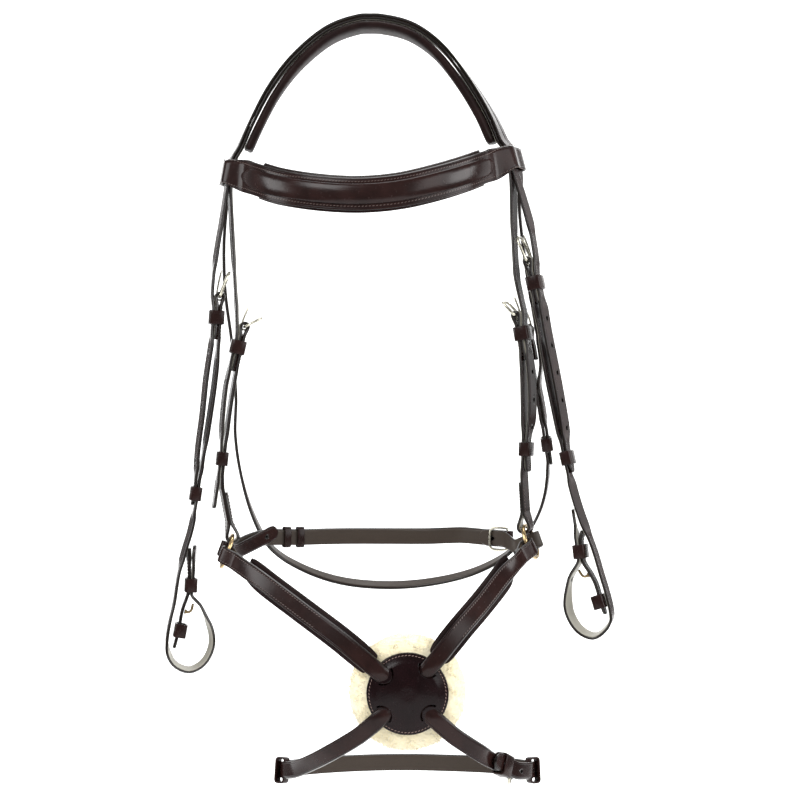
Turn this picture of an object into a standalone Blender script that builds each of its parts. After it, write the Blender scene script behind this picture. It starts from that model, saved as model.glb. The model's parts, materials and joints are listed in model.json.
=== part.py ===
"""Bridle with a figure eight noseband, hung up by its headpiece and left unbuckled.

Metres, +Z up, the front of the head at -Y. The origin is the flat underside of the poll pad.
The routes are read in pixels of the photograph, with a depth for each point, and the function
seen() turns them into metres. Left and right are as in the photograph.
"""

import math

import bmesh
import bpy
from mathutils import Vector

# Scale of the photograph
BRIDLE_HEIGHT = 0.733
VIEW_DISTANCE = 2.2
TOP_PIXEL = 13
FOOT_PIXEL = 785
AXIS_PIXEL = 400
CROWN_PIXEL = 370
PIXEL = BRIDLE_HEIGHT / (FOOT_PIXEL - TOP_PIXEL)

# Leather
STRAP_THICK = 0.003
LAYER_GAP = 0.0003
LAYER_PITCH = STRAP_THICK + LAYER_GAP
CHEEK_WIDTH = 0.016
THROAT_WIDTH = 0.012
NOSE_WIDTH = 0.016
HEAD_SLIT = 0.002
TAB_WIDTH = 0.012
STRAP_STEP = 0.014

# Headpiece and pad
PAD_WIDTH = 0.042
PAD_THICK = 0.009
PAD_GAP = 0.0006
CROWN_HEIGHT = 2 * STRAP_THICK + LAYER_GAP + PAD_GAP + PAD_THICK

# Sides
CHEEK_DEPTH = -0.007
CHEEK_OUT = 0.125
LEFT_TURN = math.radians(8)
RIGHT_TURN = math.radians(18)
FRONT_DEPTH = CHEEK_DEPTH - CHEEK_WIDTH / 2
FRONT_REACH = (VIEW_DISTANCE + FRONT_DEPTH) / VIEW_DISTANCE

# Buckles, whose frames and tongues lean inward from the line of the strap
WIRE_RADIUS = 0.0016
TONGUE_RADIUS = 0.0011
WIRE_GAP = 0.0003
CHEEK_FRAME_LENGTH = 0.025
NOSE_FRAME_LENGTH = 0.018
FRAME_SIDE_GAP = 0.0012
SLOT_GAP = 0.0007
SLOT_LENGTH = 0.008
FOLD_STEPS = 6
FOLD_RUN_SHARE = 2.6
CHAPE_START_SHARE = 1.35
FRAME_OUTLINE_SHARES = (
    (-1, 0), (-0.5, 0), (0.5, 0), (1, 0), (1, 0.5), (1, 0.7),
    (0.9, 0.92), (0.62, 1), (-0.62, 1), (-0.9, 0.92), (-1, 0.7), (-1, 0.5),
)
TONGUE_EYE_TURN = math.radians(240)
TONGUE_EYE_STEPS = 7
TONGUE_LEAN = math.radians(4)
LEFT_CHEEK_LEAN = math.radians(17)
RIGHT_CHEEK_LEAN = math.radians(11)
LEFT_NOSE_LEAN = math.radians(50)
RIGHT_NOSE_LEAN = math.radians(32)
CHIN_LEAN = math.radians(28)
JAW_LEAN = math.radians(-150)
THROAT_LEAN = math.radians(30)

# Keepers
KEEPER_WALL = 0.0018
KEEPER_GAP = 0.0006
KEEPER_LENGTH = 0.013
KEEPER_CORNER = 0.0012
KEEPER_TURNS = (0, 45, 90)
KEEPER_ZONE_SHARE = 0.62
BIT_KEEPER_GAP = 0.001
JAW_RUNNER_GAP = 0.0008
JAW_RUNNER_LENGTH = 0.007
CHIN_RUNNER_LENGTH = 0.009
CHIN_RUNNER_SLACK = 0.0022
CHIN_RUNNER_SIDE = 0.0025

# Browband
BROW_THICK = 0.0026
BROW_WIDTH = 0.03
BROW_LOOP_WIDTH = 0.022
ROLL_WIDTH = 0.02
ROLL_THICK = 0.006
LINING_WIDTH = 0.034
LINING_THICK = 0.002
LINING_GAP = 0.0006
LOOP_SLACK = 0.0016
TURNED_END_SHARE = 0.4
ROLL_END_SHARE = 0.3
ROLL_EASE_SHARE = 0.35
ROLL_NARROW_SHARE = 0.55

# Rings
RING_RADIUS = 0.016
RING_WIRE = 0.002
RING_TILT = math.radians(20)
RING_STEPS = 24
CAST_SIDES = 8

# Nose disc, with heights over its lining
DISC_DEPTH = 0.118
DISC_RADIUS = 0.037
DISC_SHELL = 0.003
DISC_EDGE = 0.0032
DISC_LIFT = 0.0009
DISC_RISE = 0.0082
DISC_SLOT_GAP = 0.0006
DISC_LINING = 0.002
FLEECE_RADIUS = 0.054
FLEECE_THICK = 0.022
DISC_SIDES = 32
FLEECE_SIDES = 28
DOME_SHARES = (0.2, 0.42, 0.62, 0.8, 0.93, 1.0)
FLEECE_OUTLINE_SHARES = (
    (0.72, 0), (0.88, 0.1), (0.97, 0.28), (1, 0.5), (0.97, 0.74), (0.88, 0.91), (0.72, 1),
)

# Crossing of the straps under the disc, from its middle out over its rim
UNDER_SHARE = 0.31
SLOT_SHARE = 0.62
OVER_SHARE = 0.81
RIM_SHARE = 0.97
OFF_SHARE = 1.14
RIM_LIFT_SHARE = 0.6
OFF_LIFT_SHARE = 1.4
CROSSING_SPAN = 4

# Padded arms
ARM_PAD_WIDTH = 0.025
ARM_PAD_THICK = 0.0075
ARM_PAD_END_THICK = 0.0034
ARM_PAD_START = 0.009
ARM_PAD_CLEAR = 0.0045
ARM_PAD_STOP = DISC_RADIUS + ARM_PAD_CLEAR
ARM_EASE_START_SHARE = 0.45
ARM_EASE_RUN_SHARE = 0.4
ARM_LOST_THICK_SHARE = 0.5
ARM_LOST_OFFSET_SHARE = 0.75
ARM_START_SHARES = (0.86, 1.0)
ARM_STOP_SHARES = (1.0, 0.9)

# Poll pad's outline and ends
POLL_END_SHARES = (0.8, 0.95)
POLL_OUTLINE_SHARES = (
    (-0.72, -1), (0.72, -1), (0.93, -0.72), (1, 0), (0.93, 0.62),
    (0.6, 1), (-0.6, 1), (-0.93, 0.62), (-1, 0), (-0.93, -0.72),
)

# Section of the other pads: a power below one is fuller than an ellipse
PAD_SIDES = 10
PAD_POWER = 0.6

# Holes and tips
HOLE_RADIUS = 0.0019
HOLE_PITCH = 0.0262
HOLE_SIDES = 8
CHEEK_HOLES = 6
NOSE_HOLES = 5
TAIL_HOLES = 3
TIP_TURNS = (0, 30, 55, 75)
CUT_OVERRUN = 0.001

# Hook studs, which reach over a share of the room between the tab and the bit loop
STUD_WIRE = 0.0014
STUD_FOOT = 0.0026
STUD_GAP = 0.0006
LEFT_STUD_SHARE = 0.676
RIGHT_STUD_SHARE = 0.705
STUD_NECK_SHARE = 1.5
STUD_BEND_SHARE = 0.7
STUD_RISE_SHARES = (0, 0, 0, 0, 0.25, 0.6, 1)

# Chapes, measured from the bar to the sewn end
CHEEK_CHAPE = 0.04
NOSE_CHAPE = 0.042
THROAT_CHAPE = 0.03
JAW_CHAPE = 0.026
CHIN_CHAPE = 0.03
RING_CHAPE = 0.042
ARM_CHAPE = 0.02
SHORT_CHAPE = 0.024
RING_PARALLEL_SHARES = (1.12, 1)
ARM_PARALLEL_SHARES = (1, 1.3)
SHORT_PARALLEL_SHARES = (1, 1.25)
CHIN_KEEPER_SHARE = 0.6
CHIN_TAIL_SHARES = (0.38, 0.7, 1.0, 1.25)
JAW_BILLET_SHARES = (0.5, 0.85, 1.15)
THROAT_TAIL_SHARE = 1.2

# How far a loose end lies off the strap's middle, in layers
TAIL_LIFT_SHARE = 1.5
JAW_TAIL_LIFT_SHARE = 1.2
JAW_BILLET_LIFT_SHARE = 1.7

# Routes in the photograph: pixel across, pixel down, and depth where it is needed
ARCH_PIXELS = (
    (238, 145), (250, 118), (268, 84), (293, 52), (328, 24), (362, 13), (378, 13),
    (412, 21), (441, 41), (468, 75), (490, 112), (501, 138),
)
LEFT_LOOP_PIXELS = ((231.5, 160), (229.5, 172), (227.5, 185))
RIGHT_LOOP_PIXELS = ((506.5, 148), (509.5, 158), (513, 172))
LEFT_BILLET_PIXELS = ((222, 222), (216.5, 256))
LEFT_BILLET_LOW_PIXELS = ((206.5, 380), (203, 415), (198.5, 450))
LEFT_MAIN_PIXELS = (
    (222, 297), (221.3, 307), (220.6, 317.5), (218.8, 345), (215.5, 380), (207.5, 435), (201.5, 472),
    (197, 502), (191.5, 530), (185, 552), (179.5, 576), (175.5, 602), (169.5, 630), (168.5, 647),
    (175, 663), (190, 670), (204, 663), (212, 648), (212.5, 635), (208, 620), (201, 605),
)
LEFT_TIP_PIXELS = (196, 545)
LEFT_TAB_PIXELS = (
    (189.6, 547), (189.9, 562), (190.3, 577), (189, 593), (183.5, 609), (179.5, 630), (175, 648),
)
LEFT_SLIP_PIXELS = ((233, 238), (235.5, 280))
LEFT_SLIP_LOW_PIXELS = ((226.5, 385), (222.5, 425))
LEFT_NOSE_PIXELS = (
    (246.5, 327), (244.2, 337), (241.7, 348), (235.8, 375), (229.5, 415), (224.5, 459), (222, 485),
)
RIGHT_BILLET_PIXELS = ((522, 203), (528.5, 228))
RIGHT_BILLET_LOW_PIXELS = ((544.5, 330), (554, 380), (561.5, 425))
RIGHT_MAIN_PIXELS = (
    (525, 262), (527, 272), (529.4, 284), (534.4, 309), (540.5, 345), (546.5, 380), (552.5, 410),
    (562.5, 458), (567.5, 480), (572.8, 500), (579, 519), (590, 548), (597, 572), (602.3, 590),
    (606.3, 607), (606.8, 616), (600.5, 627), (590, 634), (576, 628), (566.5, 613), (564.3, 600), (567, 577),
)
RIGHT_TIP_PIXELS = (569, 508)
RIGHT_TAB_PIXELS = (
    (581, 528), (577.8, 540), (578.9, 550), (580.2, 560), (586, 569.5), (592, 581), (596.8, 597),
    (601.3, 612),
)
RIGHT_SLIP_PIXELS = ((512, 237), (515, 280))
RIGHT_SLIP_LOW_PIXELS = ((529.5, 390), (529, 420))
RIGHT_NOSE_PIXELS = (
    (513.5, 316), (515.3, 325), (517.1, 334), (520.5, 359), (522, 400), (522, 449), (521, 474),
)
THROAT_ROUTE = (
    (226.5, 205, 0.013), (224, 240, 0.02), (225, 290, 0.034), (232, 345, 0.05), (236, 400, 0.062),
    (235, 430, 0.068), (240, 470, 0.076), (253, 515, 0.086), (271, 547, 0.093), (299, 566, 0.098),
    (338, 580, 0.1), (384, 585, 0.1), (430, 582, 0.095), (475, 571, 0.085), (508, 553, 0.074),
    (533, 525, 0.062), (545, 495, 0.055), (548, 465, 0.05), (545, 444, 0.0465), (541, 415, 0.043),
    (536, 385, 0.039), (532, 360, 0.036),
)
THROAT_BILLET_ROUTE = ((520, 215, 0.015), (526, 265, 0.023), (533, 310, 0.03))
THROAT_KEEPER_ROW = 18
THROAT_SLOPE_SHARE = 0.35
BROW_ROUTE = (
    (243.5, 175.5, -0.03), (256, 179.5, -0.052), (278, 186, -0.074), (318, 192, -0.093), (360, 194, -0.1),
    (400, 190.5, -0.098), (440, 181.5, -0.087), (470, 172.5, -0.066), (487, 166.5, -0.044), (494, 164, -0.03),
)
JAW_ROUTE = (
    (237, 540, 0.045), (262, 538, 0.072), (300, 537, 0.093), (345, 536, 0.103), (390, 536, 0.105),
    (430, 536, 0.099), (462, 535, 0.085), (485, 537, 0.067),
)
JAW_BAR_PIXELS = (508, 539, 0.05)
JAW_TAIL_PIXELS = (277, 531, 0.074)
JAW_RUNNER_PIXELS = ((286.5, 537.5, 0.087), (296, 537, 0.092))
CHIN_ROUTE = (
    (291, 770, -0.048), (282, 770, -0.026), (286, 769, -0.006), (310, 766, 0.013), (357, 763, 0.028),
    (405, 762, 0.032), (452, 763, 0.026), (495, 765, 0.01), (523, 768, -0.01), (533, 770, -0.03),
)
CHIN_BAR_PIXELS = (511, 770, -0.058)
DISC_PIXELS = (407.5, 693.5)

# Straps that lead to the disc, with their depths as shares of its depth
LEFT_ARM_PIXELS = ((262, 581), (302, 611), (343, 642))
LEFT_ARM_SHARES = (0.559, 0.797, 0.983)
RIGHT_ARM_PIXELS = ((505, 575), (484, 602), (461, 629))
RIGHT_ARM_SHARES = (0.559, 0.771, 0.97)
LEFT_LOW_PIXELS = ((360, 735), (332, 752), (306, 765))
LEFT_LOW_SHARES = (1.017, 0.873, 0.61)
RIGHT_LOW_PIXELS = ((454, 736), (480, 753))
RIGHT_LOW_SHARES = (1.017, 0.864)

# Where things sit along a strap, as pixels down the photograph
LEFT_FIXED_PIXEL = 317.5
LEFT_RUNNER_PIXEL = 494
LEFT_TAIL_PIXEL = 506
RIGHT_FIXED_PIXEL = 284
RIGHT_RUNNER_PIXEL = 458
RIGHT_TAIL_PIXEL = 473
LEFT_NOSE_FIXED_PIXEL = 348
LEFT_NOSE_RUNNER_PIXEL = 459
LEFT_NOSE_TAIL_PIXELS = (214.5, 509)
RIGHT_NOSE_FIXED_PIXEL = 334
RIGHT_NOSE_RUNNER_PIXEL = 449
RIGHT_NOSE_TAIL_PIXELS = (526, 472)
LEFT_RING_PIXELS = (227, 551)
RIGHT_RING_PIXELS = (530, 541)
LEFT_BIT_PIXEL = 585
LEFT_STUD_PIXEL = 611
LEFT_HOOK_PIXEL = 602
LEFT_TIP_PIXEL = 630
RIGHT_BIT_PIXEL = 550
RIGHT_STUD_PIXEL = 572
RIGHT_HOOK_PIXEL = 564
RIGHT_TIP_PIXEL = 599

UP = Vector((0, 0, 1))
BACK = Vector((0, 1, 0))
ASIDE = Vector((1, 0, 0))


# Places and routes

def seen(across, down, depth):
    """Point seen at a pixel of the photograph, at a depth behind the origin."""
    reach = (VIEW_DISTANCE + depth) / VIEW_DISTANCE
    x = (across - AXIS_PIXEL) * PIXEL * reach + (AXIS_PIXEL - CROWN_PIXEL) * PIXEL * FRONT_REACH
    z = (AXIS_PIXEL - down) * PIXEL * reach - (AXIS_PIXEL - TOP_PIXEL) * PIXEL * FRONT_REACH + CROWN_HEIGHT
    return Vector((x, depth, z))


class Side:
    """Upright plane of one side's cheek straps, turned a little to the front."""

    def __init__(self, name, sign, turn):
        self.name = name
        self.sign = sign
        self.turn = turn
        self.out = Vector((sign * math.cos(turn), -math.sin(turn), 0))
        self.across = Vector((sign * math.sin(turn), math.cos(turn), 0))
        self.origin = Vector((sign * CHEEK_OUT, CHEEK_DEPTH, 0))

    def point(self, flat, along=0.0):
        """Point in space of a place (out, height) in the plane."""
        return self.origin + self.out * flat[0] + UP * flat[1] + self.across * along

    def direction(self, flat):
        """Direction in space of a direction in the plane."""
        return self.out * flat[0] + UP * flat[1]

    def flat(self, pixels, half=CHEEK_WIDTH / 2):
        """Place in the plane of a strap whose front edge is seen at a pixel."""
        spot = seen(pixels[0], pixels[1], CHEEK_DEPTH - half)
        reach = self.sign * spot.x - CHEEK_OUT + half * math.sin(self.turn)
        return (reach / math.cos(self.turn), spot.z)


LEFT = Side("left", -1, LEFT_TURN)
RIGHT = Side("right", 1, RIGHT_TURN)


def smooth(rows, step, axes=3):
    """Centripetal curve through rows of numbers, whose first axes numbers are the place."""
    rows = [[float(value) for value in row] for row in rows]
    first = [2 * a - b for a, b in zip(rows[0], rows[1])]
    last = [2 * a - b for a, b in zip(rows[-1], rows[-2])]
    padded = [first] + rows + [last]
    result = []
    for index in range(1, len(padded) - 2):
        span = padded[index - 1:index + 3]
        knots = [0.0]
        for a, b in zip(span, span[1:]):
            knots.append(knots[-1] + math.sqrt(math.dist(a[:axes], b[:axes])))
        count = max(1, round(math.dist(span[1][:axes], span[2][:axes]) / step))
        for part in range(count):
            where = knots[1] + (knots[2] - knots[1]) * part / count
            result.append(blended(span, knots, where))
    result.append(rows[-1])
    return result


def blended(span, knots, where):
    """Value of one stretch of the centripetal curve."""
    level = span
    for width in (1, 2, 3):
        fresh = []
        for index in range(4 - width):
            low, high = knots[index], knots[index + width]
            if width == 3:
                low, high = knots[1], knots[2]
            if width == 2:
                low, high = knots[index], knots[index + 2]
            share = (where - low) / (high - low)
            fresh.append([a * (1 - share) + b * share for a, b in zip(level[index], level[index + 1])])
        level = fresh
    return level[0]


def leading_places(pixels, shares):
    """Places of a strap that leads to the disc, each at a share of the disc's depth."""
    return [seen(*pixel, -DISC_DEPTH * share) for pixel, share in zip(pixels, shares)]


def run_to(line, place, direction):
    """Distance from a place along a flat direction to the first crossing of a flat line."""
    runs = []
    for a, b in zip(line, line[1:]):
        step = (b[0] - a[0], b[1] - a[1])
        away = (a[0] - place[0], a[1] - place[1])
        turn = direction[0] * step[1] - direction[1] * step[0]
        if not turn:
            continue
        where = (away[0] * direction[1] - away[1] * direction[0]) / turn
        run = (away[0] * step[1] - away[1] * step[0]) / turn
        if 0 <= where <= 1 and run > 0:
            runs.append(run)
    return min(runs)


def at_height(line, height):
    """Place and downward direction of a flat line where it first passes a height."""
    for a, b in zip(line, line[1:]):
        if a[1] >= height > b[1]:
            share = (a[1] - height) / (a[1] - b[1])
            run = math.dist(a, b)
            place = (a[0] + (b[0] - a[0]) * share, height)
            return place, ((b[0] - a[0]) / run, (b[1] - a[1]) / run)
    raise ValueError("the line never passes that height")


def beside(line, height, offset):
    """Place that lies an offset outward from a flat line at a height."""
    place, (slope_out, slope_up) = at_height(line, height)
    return (place[0] - slope_up * offset, place[1] + slope_out * offset)


def fold(centre, away, outward, radius):
    """Places round a bar: up the outer layer to the bar, round it and off on the inner layer.

    Away points from the bar along the strap.
    """
    reach = radius / math.cos(math.pi / FOLD_STEPS / 2)
    run = FOLD_RUN_SHARE * radius
    half_pitch = LAYER_PITCH / 2
    straight = run + radius / 2
    places = [centre + away * straight + outward * half_pitch, centre + away * run + outward * half_pitch]
    for index in range(FOLD_STEPS + 1):
        angle = math.pi * index / FOLD_STEPS
        places.append(centre - away * (math.sin(angle) * reach) + outward * (math.cos(angle) * reach))
    places += [centre + away * run - outward * half_pitch, centre + away * straight - outward * half_pitch]
    return places


# Stations are places along a strap: centre, width direction, face direction, share of the width

def stations(rows, step=STRAP_STEP):
    """Stations of a route whose rows hold a place, a hint of the width direction and a width share."""
    line = smooth([[*place, *hint, share] for place, hint, share in rows], step)
    result = []
    for index, row in enumerate(line):
        before = Vector(line[max(index - 1, 0)][:3])
        after = Vector(line[min(index + 1, len(line) - 1)][:3])
        along = (after - before).normalized()
        hint = Vector(row[3:6])
        across = (hint - along * hint.dot(along)).normalized()
        result.append((Vector(row[:3]), across, across.cross(along), row[6]))
    return result


def round_tip(line, half_width, at_start=False):
    """Replace the last half width of a strap by a round tip."""
    line = list(reversed(line)) if at_start else list(line)
    end = line[-1][0]
    while len(line) > 2 and (line[-1][0] - end).length < half_width:
        line.pop()
    base = line[-1]
    along = (end - base[0]).normalized()
    reach = (end - base[0]).length
    for degrees in TIP_TURNS:
        angle = math.radians(degrees)
        place = base[0] + along * (reach - half_width * (1 - math.sin(angle)))
        line.append((place, base[1], base[2], math.cos(angle)))
    return list(reversed(line)) if at_start else line


def shifted(line, offset):
    """Stations moved along their face direction by an offset, or by one offset for each station."""
    offsets = offset if isinstance(offset, list) else [offset] * len(line)
    return [(place + face * move, across, face, share)
            for (place, across, face, share), move in zip(line, offsets)]


# Meshes

MATERIAL_VALUES = {
    "leather": ((0.032, 0.016, 0.013, 1), 0.38, 0.0),
    "lining_leather": ((0.02, 0.013, 0.011, 1), 0.6, 0.0),
    "steel": ((0.72, 0.71, 0.66, 1), 0.22, 1.0),
    "brass": ((0.72, 0.5, 0.22, 1), 0.24, 1.0),
    "fleece": ((0.78, 0.7, 0.5, 1), 0.95, 0.0),
}


def material(kind):
    """Material of a kind, made once."""
    found = bpy.data.materials.get(kind)
    if found:
        return found
    made = bpy.data.materials.new(kind)
    made.use_nodes = True
    colour, roughness, metallic = MATERIAL_VALUES[kind]
    shader = made.node_tree.nodes["Principled BSDF"]
    shader.inputs["Base Color"].default_value = colour
    shader.inputs["Roughness"].default_value = roughness
    shader.inputs["Metallic"].default_value = metallic
    made.diffuse_color = colour
    return made


def add_object(name, verts, faces, kind, origin=None):
    """Object of a closed mesh, with its origin at a given point."""
    origin = Vector((0, 0, 0)) if origin is None else origin
    mesh = bpy.data.meshes.new(name)
    mesh.from_pydata([tuple(vert - origin) for vert in verts], [], faces)
    shape = bmesh.new()
    shape.from_mesh(mesh)
    bmesh.ops.recalc_face_normals(shape, faces=shape.faces)
    shape.to_mesh(mesh)
    shape.free()
    made = bpy.data.objects.new(name, mesh)
    made.location = origin
    made.data.materials.append(material(kind))
    bpy.context.scene.collection.objects.link(made)
    return made


def tube_faces(rings, sides, closed=False):
    """Faces between rings of equal size, with end caps unless the tube is closed."""
    faces = []
    for ring in range(rings if closed else rings - 1):
        after = (ring + 1) % rings
        for side in range(sides):
            beyond = (side + 1) % sides
            near_side, far_side = ring * sides, after * sides
            faces.append((near_side + side, near_side + beyond, far_side + beyond, far_side + side))
    if not closed:
        faces.append(tuple(range(sides)))
        faces.append(tuple(range((rings - 1) * sides, rings * sides)))
    return faces


SQUARE_SECTION = ((-1, -1), (1, -1), (1, 1), (-1, 1))


def sweep(line, section, half_width, half_thick):
    """Points of a section carried along stations, where half_thick may be one value for each station."""
    thicks = half_thick if isinstance(half_thick, list) else [half_thick] * len(line)
    verts = []
    for (place, across, face, share), thick in zip(line, thicks):
        for aside, ahead in section:
            verts.append(place + across * (aside * half_width * share) + face * (ahead * thick))
    return verts


def strap(name, line, width, thick=STRAP_THICK, kind="leather", origin=None):
    """Flat strap along stations."""
    verts = sweep(line, SQUARE_SECTION, width / 2, thick / 2)
    return add_object(name, verts, tube_faces(len(line), 4), kind, origin)


def pad_section():
    """Unit outline of a pad, rounder than a box and fuller than an ellipse."""
    outline = []
    for index in range(PAD_SIDES):
        angle = math.tau * (index + 1 / 2) / PAD_SIDES
        shares = (math.cos(angle), math.sin(angle))
        outline.append(tuple(math.copysign(abs(share) ** PAD_POWER, share) for share in shares))
    return outline


def with_ends(first, count, last):
    """Shares of the width along a pad: the first ones, full width between, and the last ones."""
    return [*first] + [1.0] * (count - len(first) - len(last)) + [*last]


def cutter(name, parts):
    """One hidden object made of the given closed shapes, used to cut a strap."""
    verts, faces = [], []
    for part_verts, part_faces in parts:
        start = len(verts)
        verts += part_verts
        faces += [tuple(start + index for index in face) for face in part_faces]
    made = add_object(name, verts, faces, "steel")
    made.hide_render = True
    made.display_type = "WIRE"
    return made


def cut(target, parts):
    """Cut closed shapes out of an object."""
    if not parts:
        return
    change = target.modifiers.new("cut", "BOOLEAN")
    change.operation = "DIFFERENCE"
    change.solver = "EXACT"
    change.object = cutter("cut_" + target.name, parts)


def prism(centre, first, second, third, outline, half_depth):
    """Closed prism: an outline in the first two directions, as deep as asked along the third."""
    verts = []
    for end in (-half_depth, half_depth):
        for a, b in outline:
            verts.append(centre + first * a + second * b + third * end)
    return verts, tube_faces(2, len(outline))


def hole(line, index_share):
    """Round hole cutter through a strap, at a share of the way along its stations."""
    where = index_share * (len(line) - 1)
    low = min(int(where), len(line) - 2)
    share = where - low
    place = line[low][0].lerp(line[low + 1][0], share)
    across, face = line[low][1], line[low][2]
    along = across.cross(face)
    turns = [math.tau * index / HOLE_SIDES for index in range(HOLE_SIDES)]
    outline = [(HOLE_RADIUS * math.cos(turn), HOLE_RADIUS * math.sin(turn)) for turn in turns]
    return prism(place, along, across, face, outline, STRAP_THICK / 2 + CUT_OVERRUN)


def holes_from_tip(line, count, first, at_start=False):
    """Row of holes counted back from a strap's tip."""
    line = line if at_start else list(reversed(line))
    wanted = [first + HOLE_PITCH * index for index in range(count)]
    parts = []
    travelled = 0.0
    for index, (a, b) in enumerate(zip(line, line[1:])):
        run = (b[0] - a[0]).length
        while wanted and travelled <= wanted[0] < travelled + run:
            share = (index + (wanted[0] - travelled) / run) / (len(line) - 1)
            parts.append(hole(line, share))
            wanted.pop(0)
        travelled += run
    return parts


def keeper(name, place, along, outward, inner_out, inner_across, length=KEEPER_LENGTH):
    """Closed leather band round a stack of straps."""
    along = along.normalized()
    outward = (outward - along * outward.dot(along)).normalized()
    across = along.cross(outward)
    outline = []
    half_out, half_across = inner_out / 2, inner_across / 2
    inset = KEEPER_CORNER
    for corner_out, corner_across, start in ((1, 1, 0), (-1, 1, 90), (-1, -1, 180), (1, -1, 270)):
        middle = (corner_out * (half_out - inset), corner_across * (half_across - inset))
        for step in KEEPER_TURNS:
            angle = math.radians(start + step)
            outline.append((middle, math.cos(angle), math.sin(angle)))
    verts = []
    for end, reach in ((-1, inset), (-1, inset + KEEPER_WALL), (1, inset + KEEPER_WALL), (1, inset)):
        for (out, aside), cosine, sine in outline:
            flat_out = out + cosine * reach
            flat_across = aside + sine * reach
            verts.append(place + outward * flat_out + across * flat_across + along * (end * length / 2))
    sides = len(outline)
    return add_object(name, verts, tube_faces(4, sides, closed=True), "leather", place)


def wire(name, points, radius, kind, origin, sides=6, closed=False, radii=None):
    """Round wire along points."""
    count = len(points)
    verts = []
    normal = None
    for index, point in enumerate(points):
        before = points[(index - 1) % count] if closed else points[max(index - 1, 0)]
        after = points[(index + 1) % count] if closed else points[min(index + 1, count - 1)]
        along = (after - before).normalized()
        if normal is None:
            normal = along.orthogonal().normalized()
        normal = (normal - along * normal.dot(along)).normalized()
        other = along.cross(normal)
        size = radii[index] if radii else radius
        for side in range(sides):
            angle = math.tau * side / sides
            verts.append(point + normal * (math.cos(angle) * size) + other * (math.sin(angle) * size))
    return add_object(name, verts, tube_faces(count, sides, closed), kind, origin)


class Bar:
    """Buckle bar that a strap is turned round: where it lies and how its frame and tongue stand."""

    def __init__(self, place, across, away, outward):
        self.place = place
        self.across = across.normalized()
        self.away = away.normalized()
        self.outward = outward.normalized()

    def leaning(self, angle):
        """Direction from the bar on beyond the strap, leaning inward by an angle."""
        return -self.away * math.cos(angle) - self.outward * math.sin(angle)


FOLD_INNER = WIRE_RADIUS + WIRE_GAP
FOLD_RADIUS = FOLD_INNER + STRAP_THICK / 2
FOLD_RUN = FOLD_RUN_SHARE * FOLD_RADIUS
BILLET_CLEAR = FOLD_INNER + STRAP_THICK + STRAP_THICK / 2 + 2 * LAYER_GAP


def buckle(label, bar, width, length, frame_lean, tongue_lean):
    """Frame and tongue on a bar, with the frame a closed wire whose lowest side is the bar."""
    reach = width / 2 + FRAME_SIDE_GAP + WIRE_RADIUS
    lean = bar.leaning(frame_lean)
    points = [bar.place + bar.across * (aside * reach) + lean * (ahead * length)
              for aside, ahead in FRAME_OUTLINE_SHARES]
    wire("buckle_frame_" + label, points, WIRE_RADIUS, "steel", bar.place, closed=True)
    eye = WIRE_RADIUS + WIRE_GAP + TONGUE_RADIUS
    up = bar.leaning(tongue_lean)
    side = bar.leaning(tongue_lean - math.pi / 2)
    points = []
    for index in range(TONGUE_EYE_STEPS + 1):
        angle = TONGUE_EYE_TURN * (index / TONGUE_EYE_STEPS - 1)
        points.append(bar.place + side * (eye * math.cos(angle)) + up * (eye * math.sin(angle)))
    points.append(bar.place + side * eye + up * (length / 2))
    points.append(bar.place + side * (eye / 2) + up * (length + TONGUE_RADIUS))
    wire("buckle_tongue_" + label, points, TONGUE_RADIUS, "steel", bar.place)


def tongue_slot(bar):
    """Cutter of the slot that lets the tongue through the strap's fold."""
    half_wide = TONGUE_RADIUS + SLOT_GAP
    top = FOLD_INNER + STRAP_THICK + CUT_OVERRUN
    outline = [(-top, -half_wide), (SLOT_LENGTH, -half_wide), (SLOT_LENGTH, half_wide), (-top, half_wide)]
    return prism(bar.place, bar.away, bar.across, bar.outward, outline, top)


def turned_round(line):
    """The same stations, followed from the other end."""
    return [(place, across, -face, share) for place, across, face, share in reversed(line)]


def rows_of(line):
    """Rows that lead a strap along given stations."""
    return [(place, across, share) for place, across, face, share in line]


def rows(places, hint, share=1.0):
    """Rows of places that share one hint of the width direction."""
    return [(place, hint, share) for place in places]


def facing_rows(places, before=None, after=None):
    """Rows of places on a strap that faces the front, with the width square to its run."""
    chain = ([before] if before else []) + list(places) + ([after] if after else [])
    result = []
    for place in places:
        index = chain.index(place)
        run = chain[min(index + 1, len(chain) - 1)] - chain[max(index - 1, 0)]
        result.append((place, BACK.cross(run).normalized(), 1.0))
    return result


def near(line, place):
    """Index of the station nearest to a place."""
    return min(range(len(line)), key=lambda index: (line[index][0] - place).length)


def along_at(line, index):
    """Direction of a strap at a station."""
    before, after = line[max(index - 1, 0)][0], line[min(index + 1, len(line) - 1)][0]
    return (after - before).normalized()


# Headpiece and what lies under it

def arch_stations(inset, behind=0.0):
    """Stations over the poll, inset from the outer line and moved behind the cheek strap's middle."""
    arch = []
    for across, down in ARCH_PIXELS:
        side = LEFT if across < CROWN_PIXEL else RIGHT
        far = ARCH_PIXELS[0][0] if side is LEFT else ARCH_PIXELS[-1][0]
        turned_share = ((across - CROWN_PIXEL) / (far - CROWN_PIXEL)) ** 2
        hint = BACK.lerp(side.across, turned_share).normalized()
        arch.append((seen(across, down, FRONT_DEPTH) + hint * (CHEEK_WIDTH / 2), hint, 1.0))
    line = []
    for place, across, face, share in stations(arch, STRAP_STEP / 2):
        if place.z > CROWN_HEIGHT - LAYER_GAP / 2:
            place.z = CROWN_HEIGHT
            face = -UP
        line.append((place + across * behind, across, face, share))
    return shifted(line, inset)


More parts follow.
